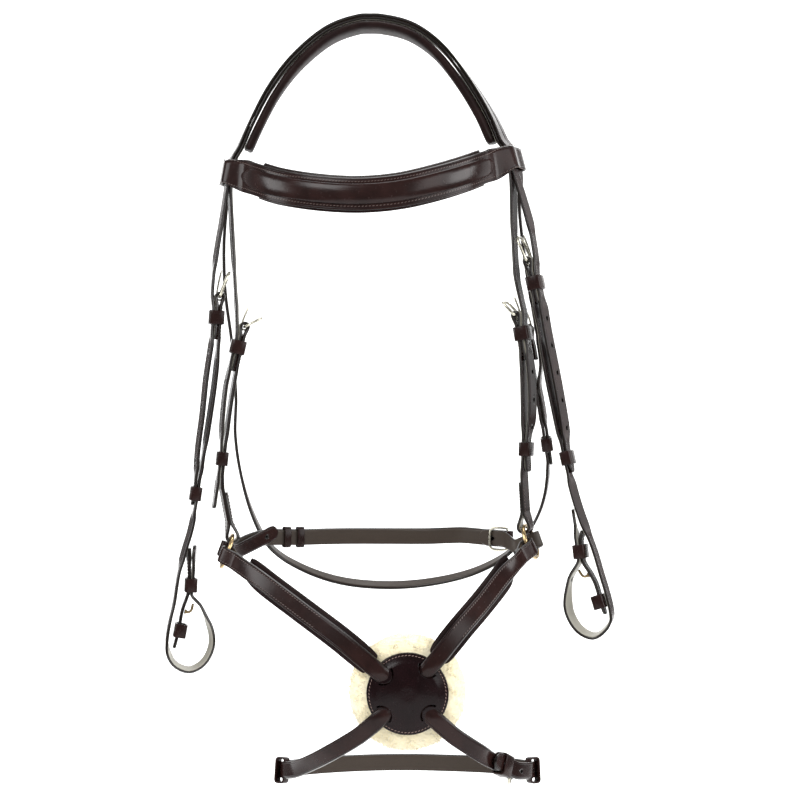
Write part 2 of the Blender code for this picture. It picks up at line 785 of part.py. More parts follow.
def leg(arch, leg_rows, at_start):
    """Stations of a leg that leaves one end of the arch."""
    ends = [arch[1], arch[0]] if at_start else [arch[-2], arch[-1]]
    line = stations(rows_of(ends) + leg_rows)
    start = near(line, ends[1][0])
    return line[start + 1:]


def loop_places(side, pixels, behind=0.0, inset=0.0):
    """Places where a strap passes the browband's loop, behind the cheek strap's middle."""
    flats = [side.flat(pixel) for pixel in pixels]
    result = []
    for index, flat in enumerate(flats):
        before, after = flats[max(index - 1, 0)], flats[min(index + 1, len(flats) - 1)]
        out, up = outward_of(before, after)
        result.append(side.point((flat[0] - out * inset, flat[1] - up * inset), behind))
    return result


def outward_of(upper, lower):
    """Outward direction square to a stretch of a flat line."""
    run = math.dist(upper, lower)
    return (upper[1] - lower[1]) / run, (lower[0] - upper[0]) / run


def joined_strap(name, front, back, front_span, back_span):
    """One leather piece of two straps that are joined side to side over a span of stations."""
    half = STRAP_THICK / 2
    verts = sweep(front, SQUARE_SECTION, CHEEK_WIDTH / 2, half)
    start = len(verts)
    verts += sweep(back, SQUARE_SECTION, THROAT_WIDTH / 2, half)
    faces = []
    for line, offset, span, open_side in ((front, 0, front_span, 1), (back, start, back_span, 3)):
        for face in tube_faces(len(line), 4):
            low = min(face) // 4
            side = len(face) == 4 and face[0] % 4
            is_wall = face[0] // 4 != face[2] // 4
            if is_wall and side == open_side and span[0] <= low < span[1]:
                continue
            faces.append(tuple(offset + index for index in face))
    for index in range(span_length(front_span)):
        a = (front_span[0] + index) * 4
        b = start + (back_span[0] + index) * 4
        faces.append((a + 1, a + 5, b + 4, b))
        faces.append((a + 2, b + 3, b + 7, a + 6))
    for index in (0, span_length(front_span)):
        a = (front_span[0] + index) * 4
        b = start + (back_span[0] + index) * 4
        faces.append((a + 1, b, b + 3, a + 2))
    return add_object(name, verts, faces, "leather")


def span_length(span):
    """Number of steps in a span."""
    return span[1] - span[0]


# Straps that hang from a buckle bar

def hung_line(side, pixels):
    """Flat line of a strap from its bar down."""
    return smooth([side.flat(pixel) for pixel in pixels], STRAP_STEP / 2, axes=2)


def height_of(side, down):
    """Height of a pixel line on the front edge of a side's straps."""
    return side.flat((AXIS_PIXEL, down))[1]


def bar_above(side, line):
    """Buckle bar at the top of a hung line, midway between its two layers."""
    (start_out, start_up), (next_out, next_up) = line[0], line[1]
    run = math.dist(line[0], line[1])
    away = ((next_out - start_out) / run, (next_up - start_up) / run)
    outward = (-away[1], away[0])
    centre = (start_out + outward[0] * LAYER_PITCH / 2, start_up + outward[1] * LAYER_PITCH / 2)
    return Bar(side.point(centre), side.across, side.direction(away), side.direction(outward))


def layer(side, line, top, bottom, offset):
    """Places beside a hung line from one height down to another."""
    count = max(2, math.ceil((top - bottom) / STRAP_STEP))
    heights = [top + (bottom - top) * index / count for index in range(count + 1)]
    return [side.point(beside(line, height, offset)) for height in heights]


def chape_places(side, line, bar, length):
    """Places of the turned-back layer, the fold and the start of the main layer."""
    start = line[0][1]
    fold_end = FOLD_RUN * CHAPE_START_SHARE
    turned = layer(side, line, start - fold_end, start - length, LAYER_PITCH)
    main = [side.point(flat) for flat in line if math.dist(flat, line[0]) > fold_end]
    return list(reversed(turned)) + fold(bar.place, bar.away, bar.outward, FOLD_RADIUS) + main


def billet_places(side, line, bar, chape, fixed, runner, upper, lower):
    """Places of an outer billet: past the bar, through the fixed keeper and the runner."""
    half = KEEPER_LENGTH * KEEPER_ZONE_SHARE
    fixed_height, runner_height = height_of(side, fixed), height_of(side, runner)
    places = [side.point(side.flat(pixel)) for pixel in upper]
    places.append(bar.place + bar.outward * BILLET_CLEAR)
    places += layer(side, line, fixed_height + half, line[0][1] - chape - STRAP_THICK / 2, 2 * LAYER_PITCH)
    places += [side.point(side.flat(pixel)) for pixel in lower]
    return places + layer(side, line, runner_height + half, runner_height - half, LAYER_PITCH)


def stack_keeper(name, side, line, down, first, last, width):
    """Keeper round some layers beside a hung line, numbered outward from the line itself."""
    height = height_of(side, down)
    place = side.point(beside(line, height, (first + last) / 2 * LAYER_PITCH))
    slope = at_height(line, height)[1]
    along = side.direction(slope)
    outward = side.direction((-slope[1], slope[0]))
    inner_out = (last - first) * LAYER_PITCH + STRAP_THICK + 2 * KEEPER_GAP
    return keeper(name, place, along, outward, inner_out, width + 2 * KEEPER_GAP)


def tab_flats(side, line, pixels):
    """Flat line of the stud tab, from beside the cheek strap down into the bit loop."""
    flats = [side.flat(pixel, TAB_WIDTH / 2) for pixel in pixels]
    flats[0] = beside(line, flats[0][1], -LAYER_PITCH)
    return smooth(flats, STRAP_STEP / 2, axes=2)


def looped_line(side, plan):
    """Flat line of a cheekpiece from its bar down, round the bit loop and up through its keeper."""
    down = [side.flat(pixel) for pixel in plan["main"]]
    tab = tab_flats(side, smooth(down, STRAP_STEP / 2, axes=2), plan["tab"])
    height = height_of(side, plan["bit_pixel"])
    half = KEEPER_LENGTH * KEEPER_ZONE_SHARE
    held = [beside(tab, height + half * rise, -LAYER_PITCH) for rise in (-1, 0, 1)]
    return smooth(down + held + [side.flat(plan["tip"])], STRAP_STEP / 2, axes=2), tab


def bit_end(side, tab, main, plan):
    """Stud tab of a bit loop with its two keepers and its hook stud."""
    tab_line = stations(rows([side.point(flat) for flat in tab], side.across))
    strap("stud_tab_" + side.name, round_tip(tab_line, TAB_WIDTH / 2), TAB_WIDTH)
    for label, pixel in (("bit_keeper_", plan["bit_pixel"]), ("tip_keeper_", plan["tip_pixel"])):
        height = height_of(side, pixel)
        place, slope = at_height(tab, height)
        outward = (-slope[1], slope[0])
        middle = (place[0] - outward[0] * LAYER_PITCH / 2, place[1] - outward[1] * LAYER_PITCH / 2)
        inner = LAYER_PITCH + STRAP_THICK + 2 * BIT_KEEPER_GAP
        keeper(label + side.name, side.point(middle), side.direction(slope), side.direction(outward),
               inner, CHEEK_WIDTH + 2 * KEEPER_GAP)
    place, slope = at_height(tab, height_of(side, plan["stud_pixel"]))
    flat_inward = (slope[1], -slope[0])
    inward = side.direction(flat_inward)
    up = -side.direction(slope)
    foot = side.point(place) + inward * (STRAP_THICK / 2 + STUD_GAP)
    hook = at_height(tab, height_of(side, plan["hook_pixel"]))[0]
    room = run_to(main, hook, flat_inward) - STRAP_THICK - STUD_GAP - STUD_WIRE
    far = room * plan["stud_share"]
    reach = [0, STUD_WIRE, STUD_WIRE * STUD_NECK_SHARE, far * STUD_BEND_SHARE, far, far, far]
    rise = [math.dist(place, hook) * share for share in STUD_RISE_SHARES]
    radii = [STUD_FOOT] * 2 + [STUD_WIRE] * (len(reach) - 2)
    points = [foot + inward * out + up * high for out, high in zip(reach, rise)]
    wire("hook_stud_" + side.name, points, STUD_WIRE, "brass", foot, sides=CAST_SIDES, radii=radii)


# Rings

class Ring:
    """Ring of the noseband, in a plane through the straps' width and a tilted upright."""

    def __init__(self, side, pixels):
        self.side = side
        self.centre = side.point(side.flat(pixels, 0))
        self.upright = UP * math.cos(RING_TILT) - side.out * math.sin(RING_TILT)
        self.across = side.across
        self.axis = self.across.cross(self.upright).normalized()

    def point(self, angle):
        """Point of the ring at an angle from its rear towards its top."""
        spoke = self.across * math.cos(angle) + self.upright * math.sin(angle)
        return self.centre + spoke * RING_RADIUS


def make_ring(ring):
    """Cast ring, free to turn in its three straps."""
    points = [ring.point(math.tau * index / RING_STEPS) for index in range(RING_STEPS)]
    wire("ring_" + ring.side.name, points, RING_WIRE, "brass", ring.centre, sides=CAST_SIDES, closed=True)


def ring_fold(ring, rod, away, width):
    """Folded strap on the ring at a rod point: places, outward direction and width direction."""
    radial = (rod - ring.centre).normalized()
    across = ring.axis.cross(radial).normalized()
    away = (away - across * away.dot(across)).normalized()
    outward = across.cross(away).normalized()
    if outward.dot(ring.side.out) < 0:
        outward, across = -outward, -across
    sagitta = RING_RADIUS - math.sqrt(RING_RADIUS ** 2 - (width / 2) ** 2)
    middle = rod - radial * (sagitta / 2)
    slant = math.sqrt(1 - (width / 2 / RING_RADIUS) ** 2)
    radius = RING_WIRE / slant + sagitta / 2 + WIRE_GAP + STRAP_THICK / 2
    return fold(middle, away, outward, radius), middle, away, outward, across


# Browband

def brow_loop(side, pixels, end_place):
    """Rows round the straps at one end of the browband, from its turned end to the front."""
    flats = [side.flat(pixel) for pixel in pixels]
    out, up = outward_of(flats[0], flats[-1])
    half = BROW_THICK / 2
    outer = STRAP_THICK / 2 + LOOP_SLACK + half
    inner = -(LAYER_PITCH + outer)
    rear = CHEEK_WIDTH / 2 + HEAD_SLIT + THROAT_WIDTH + LOOP_SLACK + half
    front = -(CHEEK_WIDTH / 2 + LOOP_SLACK + half)
    corner = BROW_THICK
    outline = ((inner, front), (inner, rear - corner), (inner + corner, rear), (outer - corner, rear),
               (outer, rear - corner), (outer, 0), (outer, front))
    places = [side.point((flats[1][0] + out * off, flats[1][1] + up * off), along) for off, along in outline]
    share = BROW_LOOP_WIDTH / BROW_WIDTH
    end = places[0].lerp(end_place, TURNED_END_SHARE)
    return [(end, UP, share)] + rows(places, side.direction((-up, out)), share)


def make_browband():
    """Browband: strap with end loops, padded roll in front and lining behind."""
    places = [seen(*row) for row in BROW_ROUTE]
    behind = BROW_THICK + LOOP_SLACK
    left_face = UP.cross(places[1] - places[0]).normalized()
    right_face = UP.cross(places[-1] - places[-2]).normalized()
    left = brow_loop(LEFT, LEFT_LOOP_PIXELS, places[0] + left_face * behind)
    right = brow_loop(RIGHT, RIGHT_LOOP_PIXELS, places[-1] + right_face * behind)
    band = rows(places, UP)
    band[0] = (places[0], (UP + left[-1][1]) / 2, 1.0)
    band[-1] = (places[-1], (UP + right[-1][1]) / 2, 1.0)
    line = stations(left + band + list(reversed(right)), STRAP_STEP / 2)
    strap("browband", line, BROW_WIDTH, BROW_THICK)
    middle = line[near(line, places[1]):near(line, places[-2]) + 1]
    steps_in = [min(index, len(middle) - 1 - index) for index in range(len(middle))]
    ease = [min(1.0, ROLL_END_SHARE + ROLL_EASE_SHARE * steps) for steps in steps_in]
    thicks = [ROLL_THICK * share for share in ease]
    out = [-(BROW_THICK / 2 + LAYER_GAP + thick / 2) for thick in thicks]
    roll = shifted(middle, out)
    roll = [(place, across, face, ROLL_NARROW_SHARE + (1 - ROLL_NARROW_SHARE) * share)
            for (place, across, face, _), share in zip(roll, ease)]
    verts = sweep(roll, pad_section(), ROLL_WIDTH / 2, [thick / 2 for thick in thicks])
    add_object("browband_roll", verts, tube_faces(len(roll), PAD_SIDES), "leather")
    lining = shifted(middle[1:-1], BROW_THICK / 2 + LINING_GAP + LINING_THICK / 2)
    strap("browband_lining", lining, LINING_WIDTH, LINING_THICK, "lining_leather")


# Nose disc

def disc_point(direction, radius, height):
    """Point at a radius on the disc and a height over its lining."""
    return seen(*DISC_PIXELS, -DISC_DEPTH) + direction * radius - BACK * height


def dome_height(share):
    """Height of the dome's outer face at a share of its radius."""
    return DISC_EDGE + DISC_RISE * (1 - share * share)


def lathe(name, profile, kind, sides=DISC_SIDES):
    """Body turned round the disc's axis from a profile of radii and heights."""
    verts = []
    for radius, height in profile:
        for index in range(sides):
            angle = math.tau * index / sides
            spoke = ASIDE * math.cos(angle) + UP * math.sin(angle)
            verts.append(disc_point(spoke, radius, height))
    return add_object(name, verts, tube_faces(len(profile), sides), kind)


def disc_crossing(towards, off, under_height):
    """Places of a strap from over the rim down through its slot to the crossing."""
    over = dome_height(OVER_SHARE) + STRAP_THICK / 2 + DISC_LIFT
    heights = (over - DISC_LIFT * OFF_LIFT_SHARE, over - DISC_LIFT * RIM_LIFT_SHARE, over,
               dome_height(SLOT_SHARE) - DISC_SHELL / 2, under_height)
    shares = (OFF_SHARE, RIM_SHARE, OVER_SHARE, SLOT_SHARE, UNDER_SHARE)
    places = [disc_point(towards, DISC_RADIUS * share, height) for share, height in zip(shares, heights)]
    if off:
        places.append(disc_point(towards, 0, under_height))
    return places


def in_disc_plane(place):
    """Direction from the disc's middle towards a place, in the disc's plane."""
    away = place - seen(*DISC_PIXELS, -DISC_DEPTH)
    away.y = 0
    return away.normalized()


def make_disc(crossings):
    """Domed disc with its four strap slots, its lining and its fleece pad."""
    profile = [(DISC_RADIUS * share, dome_height(share)) for share in DOME_SHARES]
    profile += [(DISC_RADIUS * share, dome_height(share) - DISC_SHELL) for share in reversed(DOME_SHARES)]
    dome = lathe("nose_disc", profile, "leather")
    parts = []
    for line in crossings:
        verts = sweep(line, SQUARE_SECTION, NOSE_WIDTH / 2 + DISC_SLOT_GAP, STRAP_THICK / 2 + DISC_SLOT_GAP)
        parts.append((verts, tube_faces(len(line), 4)))
    for index, part in enumerate(parts):
        change = dome.modifiers.new("slots", "BOOLEAN")
        change.operation = "DIFFERENCE"
        change.solver = "EXACT"
        change.object = cutter("cut_nose_disc_" + str(index), [part])
    lathe("disc_lining", [(DISC_RADIUS, 0), (DISC_RADIUS, -DISC_LINING)], "lining_leather")
    front = -DISC_LINING - LAYER_GAP
    profile = [(FLEECE_RADIUS * share, front - FLEECE_THICK * deep) for share, deep in FLEECE_OUTLINE_SHARES]
    lathe("fleece_pad", profile, "fleece", FLEECE_SIDES)


# Arms, jaw and chin

def arm_fold(ring, first_place):
    """Fold of an arm's strap on the lower front of its ring."""
    away = (first_place - ring.centre).normalized()
    radial = (away - ring.axis * away.dot(ring.axis)).normalized()
    rod = ring.centre + radial * RING_RADIUS
    away = (first_place - rod).normalized()
    places, middle, away, outward, across = ring_fold(ring, rod, away, NOSE_WIDTH)
    if outward.dot(BACK) > 0:
        outward, across = -outward, -across
        places = list(reversed(places))
    return places, middle, away, outward, across


def arm_rows(ring, arm, crossing_side, under_height):
    """Rows of an arm's strap from its turned-back end to the crossing under the disc."""
    towards = in_disc_plane(arm[-1])
    onto = disc_crossing(towards, crossing_side, under_height)
    places, middle, away, outward, across = arm_fold(ring, arm[0])
    facing = facing_rows(arm + onto)
    if across.dot(facing[0][1]) < 0:
        across = -across
    turned_end = middle + away * ARM_CHAPE - outward * (LAYER_PITCH / 2)
    parallel = [middle + away * (ARM_CHAPE * share) + outward * (LAYER_PITCH / 2)
                for share in ARM_PARALLEL_SHARES]
    head = rows([turned_end] + list(reversed(places)) + parallel, across)
    return head + facing


def arm_pad(name, line, ring_centre):
    """Pad under an arm's strap, thinner where it meets the disc."""
    start = line_index_beyond(line, ring_centre)
    chosen, thicks, offsets = [], [], []
    middle = seen(*DISC_PIXELS, -DISC_DEPTH)
    travelled = 0.0
    previous = line[start][0]
    total = sum((b[0] - a[0]).length for a, b in zip(line[start:], line[start + 1:])
                if (b[0] - middle).length > ARM_PAD_STOP)
    for station in line[start:]:
        travelled += (station[0] - previous).length
        previous = station[0]
        if travelled < ARM_PAD_START:
            continue
        if (station[0] - middle).length < ARM_PAD_STOP:
            break
        past_chape = min(1.0, max(0.0, (travelled - ARM_CHAPE) / ARM_CHAPE))
        near_disc = min(1.0, max(0.0, (travelled / total - ARM_EASE_START_SHARE) / ARM_EASE_RUN_SHARE))
        thick = ARM_PAD_THICK + (ARM_PAD_END_THICK - ARM_PAD_THICK) * near_disc
        lost = (1 - past_chape) * 2 * LAYER_PITCH
        thicks.append((thick - lost * ARM_LOST_THICK_SHARE) / 2)
        offsets.append(-(STRAP_THICK / 2 + 2 * LAYER_GAP + lost * ARM_LOST_OFFSET_SHARE + thicks[-1]))
        chosen.append(station)
    pad = shifted(chosen, offsets)
    ends = with_ends(ARM_START_SHARES, len(pad), ARM_STOP_SHARES)
    pad = [(place, across, face, share) for (place, across, face, _), share in zip(pad, ends)]
    verts = sweep(pad, pad_section(), ARM_PAD_WIDTH / 2, thicks)
    add_object(name, verts, tube_faces(len(pad), PAD_SIDES), "lining_leather")


def line_index_beyond(line, ring_centre):
    """Index of the first station of an arm after its fold."""
    nearest = near(line, ring_centre)
    index = nearest
    while (line[index][0] - ring_centre).length < RING_RADIUS + 2 * FOLD_RADIUS:
        index += 1
    return index


# Assembly

def make_side(side, plan):
    """Cheekpiece and noseband cheek of one side, with their buckles, keepers and bit loop."""
    main, tab = looped_line(side, plan)
    bar = bar_above(side, main)
    line = stations(rows(chape_places(side, main, bar, CHEEK_CHAPE), side.across), STRAP_STEP)
    cheek = strap("cheekpiece_" + side.name, round_tip(line, CHEEK_WIDTH / 2), CHEEK_WIDTH)
    cut(cheek, [tongue_slot(bar)] + holes_from_tip(line, TAIL_HOLES, CHEEK_WIDTH))
    buckle("cheek_" + side.name, bar, CHEEK_WIDTH, CHEEK_FRAME_LENGTH, plan["cheek_lean"], TONGUE_LEAN)
    stack_keeper("cheek_keeper_" + side.name, side, main, plan["fixed"], 0, 2, CHEEK_WIDTH)
    stack_keeper("cheek_runner_" + side.name, side, main, plan["runner"], 0, 1, CHEEK_WIDTH)
    bit_end(side, tab, main, plan)
    nose = hung_line(side, plan["nose"])
    nose_bar = bar_above(side, nose)
    ring = Ring(side, plan["ring"])
    make_ring(ring)
    rod = ring.point(math.pi / 2)
    above = side.point(beside(nose, nose[-1][1] + WIRE_RADIUS, -LAYER_PITCH / 2))
    places, middle, away, outward, across = ring_fold(ring, rod, (above - rod).normalized(), NOSE_WIDTH)
    chape = chape_places(side, nose, nose_bar, NOSE_CHAPE)
    parallel = [middle + away * (RING_CHAPE * share) + outward * (LAYER_PITCH / 2)
                for share in RING_PARALLEL_SHARES]
    turned_end = middle + away * RING_CHAPE - outward * (LAYER_PITCH / 2)
    nose_places = chape[:-1] + parallel + places + [turned_end]
    nose_line = stations(rows(nose_places, side.across))
    nose_strap = strap("noseband_cheek_" + side.name, nose_line, NOSE_WIDTH)
    cut(nose_strap, [tongue_slot(nose_bar)])
    buckle("noseband_" + side.name, nose_bar, NOSE_WIDTH, NOSE_FRAME_LENGTH, plan["nose_lean"], TONGUE_LEAN)
    stack_keeper("noseband_keeper_" + side.name, side, nose, plan["nose_fixed"], 0, 2, NOSE_WIDTH)
    stack_keeper("noseband_runner_" + side.name, side, nose, plan["nose_runner"], 0, 1, NOSE_WIDTH)
    billet = billet_places(side, main, bar, CHEEK_CHAPE, plan["fixed"], plan["runner"], plan["billet"],
                           plan["billet_low"])
    billet.append(side.point(beside(main, height_of(side, plan["tail"]), LAYER_PITCH)))
    slip = billet_places(side, nose, nose_bar, NOSE_CHAPE, plan["nose_fixed"], plan["nose_runner"],
                         plan["slip"], plan["slip_low"])
    slip.append(side.point(side.flat(plan["nose_tail"])))
    return {"billet": rows(billet, side.across), "slip": rows(slip, side.across), "ring": ring}


def make_headpiece(arch, sides):
    """Headpiece, split below the poll into two billets, the throat lash and its billet."""
    billets = [leg(arch, rows(loop_places(side, plan["loop"]), side.across) + made["billet"], side is LEFT)
               for side, plan, made in sides]
    tipped = [round_tip(line, CHEEK_WIDTH / 2) for line in billets]
    front = turned_round(tipped[0]) + arch + tipped[1]
    back_depth = CHEEK_WIDTH / 2 + HEAD_SLIT + THROAT_WIDTH / 2
    back_arch = [(place + across * back_depth, across, face, share) for place, across, face, share in arch]
    loops = [rows(loop_places(side, plan["loop"], back_depth), side.across) for side, plan, made in sides]
    lash_hint = BACK + UP * THROAT_SLOPE_SHARE
    lash_places = [seen(*row) for row in THROAT_ROUTE]
    lash_rows = [(place, lash_hint if abs(place.x - lash_places[0].x) > THROAT_WIDTH else BACK, 1.0)
                 for place in lash_places]
    away = (lash_places[-2] - lash_places[-1]).normalized()
    across = (BACK - away * BACK.dot(away)).normalized()
    outward = across.cross(-away).normalized()
    bar = Bar(lash_places[-1] - away * THROAT_CHAPE + outward * (LAYER_PITCH / 2), across, away, outward)
    folded = fold(bar.place, away, outward, FOLD_RADIUS)
    lash_rows[-1] = (lash_places[-1], across, 1.0)
    lash_rows += rows(list(reversed(folded)) + [lash_places[-1] + outward * LAYER_PITCH], across)
    lash = leg(back_arch, loops[0] + lash_rows, True)
    main = stations(rows(lash_places, lash_hint))
    keeper_index = near(main, seen(*THROAT_ROUTE[THROAT_KEEPER_ROW]))
    stop = near(main, seen(*THROAT_ROUTE[THROAT_KEEPER_ROW + 2]))
    beside_rows = rows_of(shifted(main[keeper_index - 1:stop + 1], LAYER_PITCH))
    clear = bar.place + outward * BILLET_CLEAR
    past = (bar.place + away * (THROAT_CHAPE * THROAT_TAIL_SHARE)
            + outward * (LAYER_PITCH * TAIL_LIFT_SHARE + STRAP_THICK / 2))
    billet_rows = rows([seen(*row) for row in THROAT_BILLET_ROUTE], BACK) + rows([clear, past], across)
    throat_billet = leg(back_arch, loops[1] + billet_rows + list(reversed(beside_rows)), False)
    throat_billet = round_tip(throat_billet, THROAT_WIDTH / 2)
    back = turned_round(lash) + back_arch + throat_billet
    front_start, back_start = len(tipped[0]), len(lash)
    steps = len(arch) - 1
    headpiece = joined_strap("headpiece", front, back, (front_start, front_start + steps),
                             (back_start, back_start + steps))
    parts = [tongue_slot(bar)] + holes_from_tip(throat_billet, TAIL_HOLES, CHEEK_WIDTH)
    for line in tipped:
        parts += holes_from_tip(line, CHEEK_HOLES, CHEEK_WIDTH)
    cut(headpiece, parts)
    buckle("throat", bar, THROAT_WIDTH, NOSE_FRAME_LENGTH, THROAT_LEAN, TONGUE_LEAN)
    place, _, face, _ = main[keeper_index]
    keeper("throat_runner", place + face * (LAYER_PITCH / 2), along_at(main, keeper_index), face,
           LAYER_PITCH + STRAP_THICK + 2 * KEEPER_GAP, THROAT_WIDTH + 2 * KEEPER_GAP)


def make_sliphead(sides):
    """Strap under the headpiece that carries the noseband."""
    arch = arch_stations(STRAP_THICK / 2 + LAYER_PITCH)
    legs = [leg(arch, rows(loop_places(side, plan["loop"], 0, LAYER_PITCH), side.across) + made["slip"],
                side is LEFT) for side, plan, made in sides]
    tipped = [round_tip(line, NOSE_WIDTH / 2) for line in legs]
    line = turned_round(tipped[0]) + arch + tipped[1]
    sliphead = strap("sliphead", line, NOSE_WIDTH)
    parts = []
    for tip in tipped:
        parts += holes_from_tip(tip, NOSE_HOLES, NOSE_WIDTH)
    cut(sliphead, parts)


def make_poll_pad():
    """Padded lining over the poll, flat underneath at its crown."""
    inset = CROWN_HEIGHT - PAD_THICK / 2
    line = arch_stations(inset, (HEAD_SLIT + THROAT_WIDTH) / 2)
    ends = with_ends(POLL_END_SHARES, len(line), POLL_END_SHARES[::-1])
    line = [(place, across, face, share) for (place, across, face, _), share in zip(line, ends)]
    verts = sweep(line, POLL_OUTLINE_SHARES, PAD_WIDTH / 2, PAD_THICK / 2)
    add_object("poll_pad", verts, tube_faces(len(line), len(POLL_OUTLINE_SHARES)), "lining_leather")


def make_nose_straps(rings):
    """The two straps that cross under the disc, with the chin strap, and the padded arms."""
    left_ring, right_ring = rings
    bar_place = seen(*CHIN_BAR_PIXELS)
    low = leading_places(RIGHT_LOW_PIXELS, RIGHT_LOW_SHARES)
    away = (low[-1] - bar_place).normalized()
    across = (-UP + away * UP.dot(away)).normalized()
    outward = across.cross(-away).normalized()
    bar = Bar(bar_place, across, away, outward)
    half = LAYER_PITCH / 2
    upper = LAYER_GAP + STRAP_THICK / 2 + LAYER_PITCH
    off = disc_crossing(in_disc_plane(low[0]), False, upper)
    left_rows = arm_rows(left_ring, leading_places(LEFT_ARM_PIXELS, LEFT_ARM_SHARES), True, upper)
    left_rows += facing_rows(list(reversed(off)) + low, left_rows[-1][0])
    left_rows += rows([bar.place + away * CHIN_CHAPE - outward * half]
                      + list(reversed(fold(bar.place, away, outward, FOLD_RADIUS)))
                      + [bar.place + away * CHIN_CHAPE + outward * half], across)
    left_line = stations(left_rows)
    left = strap("cross_strap_left", left_line, NOSE_WIDTH)
    cut(left, [tongue_slot(bar)])
    buckle("chin", bar, NOSE_WIDTH, NOSE_FRAME_LENGTH, CHIN_LEAN, TONGUE_LEAN)
    lower = LAYER_GAP + STRAP_THICK / 2
    low_left = leading_places(LEFT_LOW_PIXELS, LEFT_LOW_SHARES)
    off = disc_crossing(in_disc_plane(low_left[0]), False, lower)
    right_rows = arm_rows(right_ring, leading_places(RIGHT_ARM_PIXELS, RIGHT_ARM_SHARES), True, lower)
    right_rows += facing_rows(list(reversed(off)) + low_left, right_rows[-1][0])
    chin = [seen(*row) for row in CHIN_ROUTE]
    right_rows += rows(chin, UP)
    tail = [bar.place + outward * BILLET_CLEAR]
    tail += [bar.place + away * (CHIN_CHAPE * share) + outward * (LAYER_PITCH * TAIL_LIFT_SHARE)
             for share in CHIN_TAIL_SHARES]
    right_rows += rows(tail, -across)
    right_line = round_tip(stations(right_rows), NOSE_WIDTH / 2)
    right = strap("cross_strap_right", right_line, NOSE_WIDTH)
    cut(right, holes_from_tip(right_line, TAIL_HOLES, NOSE_WIDTH))
    keeper("chin_keeper", bar.place + away * (CHIN_CHAPE * CHIN_KEEPER_SHARE) + outward * half, away, outward,
           2 * LAYER_PITCH + STRAP_THICK + 2 * KEEPER_GAP, NOSE_WIDTH + 2 * KEEPER_GAP)
    for label, row in (("left", 1), ("right", len(chin) - 1)):
        index = near(right_line, chin[row])
        place, _, face, _ = right_line[index]
        keeper("chin_runner_" + label, place, along_at(right_line, index), face,
               STRAP_THICK + 2 * CHIN_RUNNER_SLACK, NOSE_WIDTH + 2 * CHIN_RUNNER_SIDE, CHIN_RUNNER_LENGTH)
    arm_pad("arm_pad_left", left_line, left_ring.centre)
    arm_pad("arm_pad_right", right_line, right_ring.centre)
    middle = seen(*DISC_PIXELS, -DISC_DEPTH)
    crossings = []
    for line in (left_line, right_line):
        at_middle = near(line, middle)
        crossings.append(line[at_middle - CROSSING_SPAN:at_middle + CROSSING_SPAN + 1])
    make_disc(crossings)


def make_jaw_straps(rings):
    """Jaw strap from the left ring to its buckle, and the short billet on the right ring."""
    left_ring, right_ring = rings
    route = [seen(*row) for row in JAW_ROUTE]
    half = LAYER_PITCH / 2
    rod = left_ring.point(0)
    away = (route[0] - rod).normalized()
    places, middle, away, outward, across = ring_fold(left_ring, rod, away, NOSE_WIDTH)
    if across.dot(UP) < 0:
        across = -across
    tail_end = seen(*JAW_TAIL_PIXELS)
    inner_start = middle + away * SHORT_CHAPE - outward * (LAYER_PITCH * JAW_TAIL_LIFT_SHARE)
    bar_place = seen(*JAW_BAR_PIXELS)
    bar_away = (route[-1] - bar_place).normalized()
    bar_across = (UP - bar_away * UP.dot(bar_away)).normalized()
    toward_billet = -bar_across.cross(-bar_away).normalized()
    bar = Bar(bar_place, bar_across, bar_away, toward_billet)
    parallel = middle + away * SHORT_CHAPE + outward * half
    jaw_rows = rows([tail_end], UP) + rows([inner_start] + list(reversed(places)) + [parallel], across)
    jaw_rows += rows(route[1:], UP)
    jaw_rows += rows([bar.place + bar_away * JAW_CHAPE - toward_billet * half]
                     + list(reversed(fold(bar.place, bar_away, toward_billet, FOLD_RADIUS)))
                     + [bar.place + bar_away * JAW_CHAPE + toward_billet * half], bar_across)
    line = round_tip(stations(jaw_rows), NOSE_WIDTH / 2, at_start=True)
    jaw = strap("jaw_strap", line, NOSE_WIDTH)
    cut(jaw, [tongue_slot(bar)] + holes_from_tip(line, 1, NOSE_WIDTH, at_start=True))
    buckle("jaw", bar, NOSE_WIDTH, NOSE_FRAME_LENGTH, JAW_LEAN, TONGUE_LEAN)
    for label, row in (("outer", JAW_RUNNER_PIXELS[0]), ("inner", JAW_RUNNER_PIXELS[1])):
        index = near(line[len(line) // 3:], seen(*row)) + len(line) // 3
        place, _, face, _ = line[index]
        keeper("jaw_runner_" + label, place, along_at(line, index), face,
               STRAP_THICK + 2 * JAW_RUNNER_GAP, NOSE_WIDTH + 2 * KEEPER_GAP, JAW_RUNNER_LENGTH)
    rod = right_ring.point(0)
    clear = bar.place + toward_billet * BILLET_CLEAR
    places, middle, away, outward, across = ring_fold(right_ring, rod, (clear - rod).normalized(), NOSE_WIDTH)
    if across.dot(UP) < 0:
        across = -across
    sewn = middle + away * SHORT_CHAPE + outward * half
    inner = [middle + away * (SHORT_CHAPE * share) - outward * half for share in SHORT_PARALLEL_SHARES]
    tail = [bar.place + bar_away * (JAW_CHAPE * share) + toward_billet * (LAYER_PITCH * JAW_BILLET_LIFT_SHARE)
            for share in JAW_BILLET_SHARES]
    billet_rows = rows([sewn] + places + inner, across) + rows([clear] + tail, bar_across)
    billet_line = round_tip(stations(billet_rows), NOSE_WIDTH / 2)
    billet = strap("jaw_billet", billet_line, NOSE_WIDTH)
    cut(billet, holes_from_tip(billet_line, 1, NOSE_WIDTH))


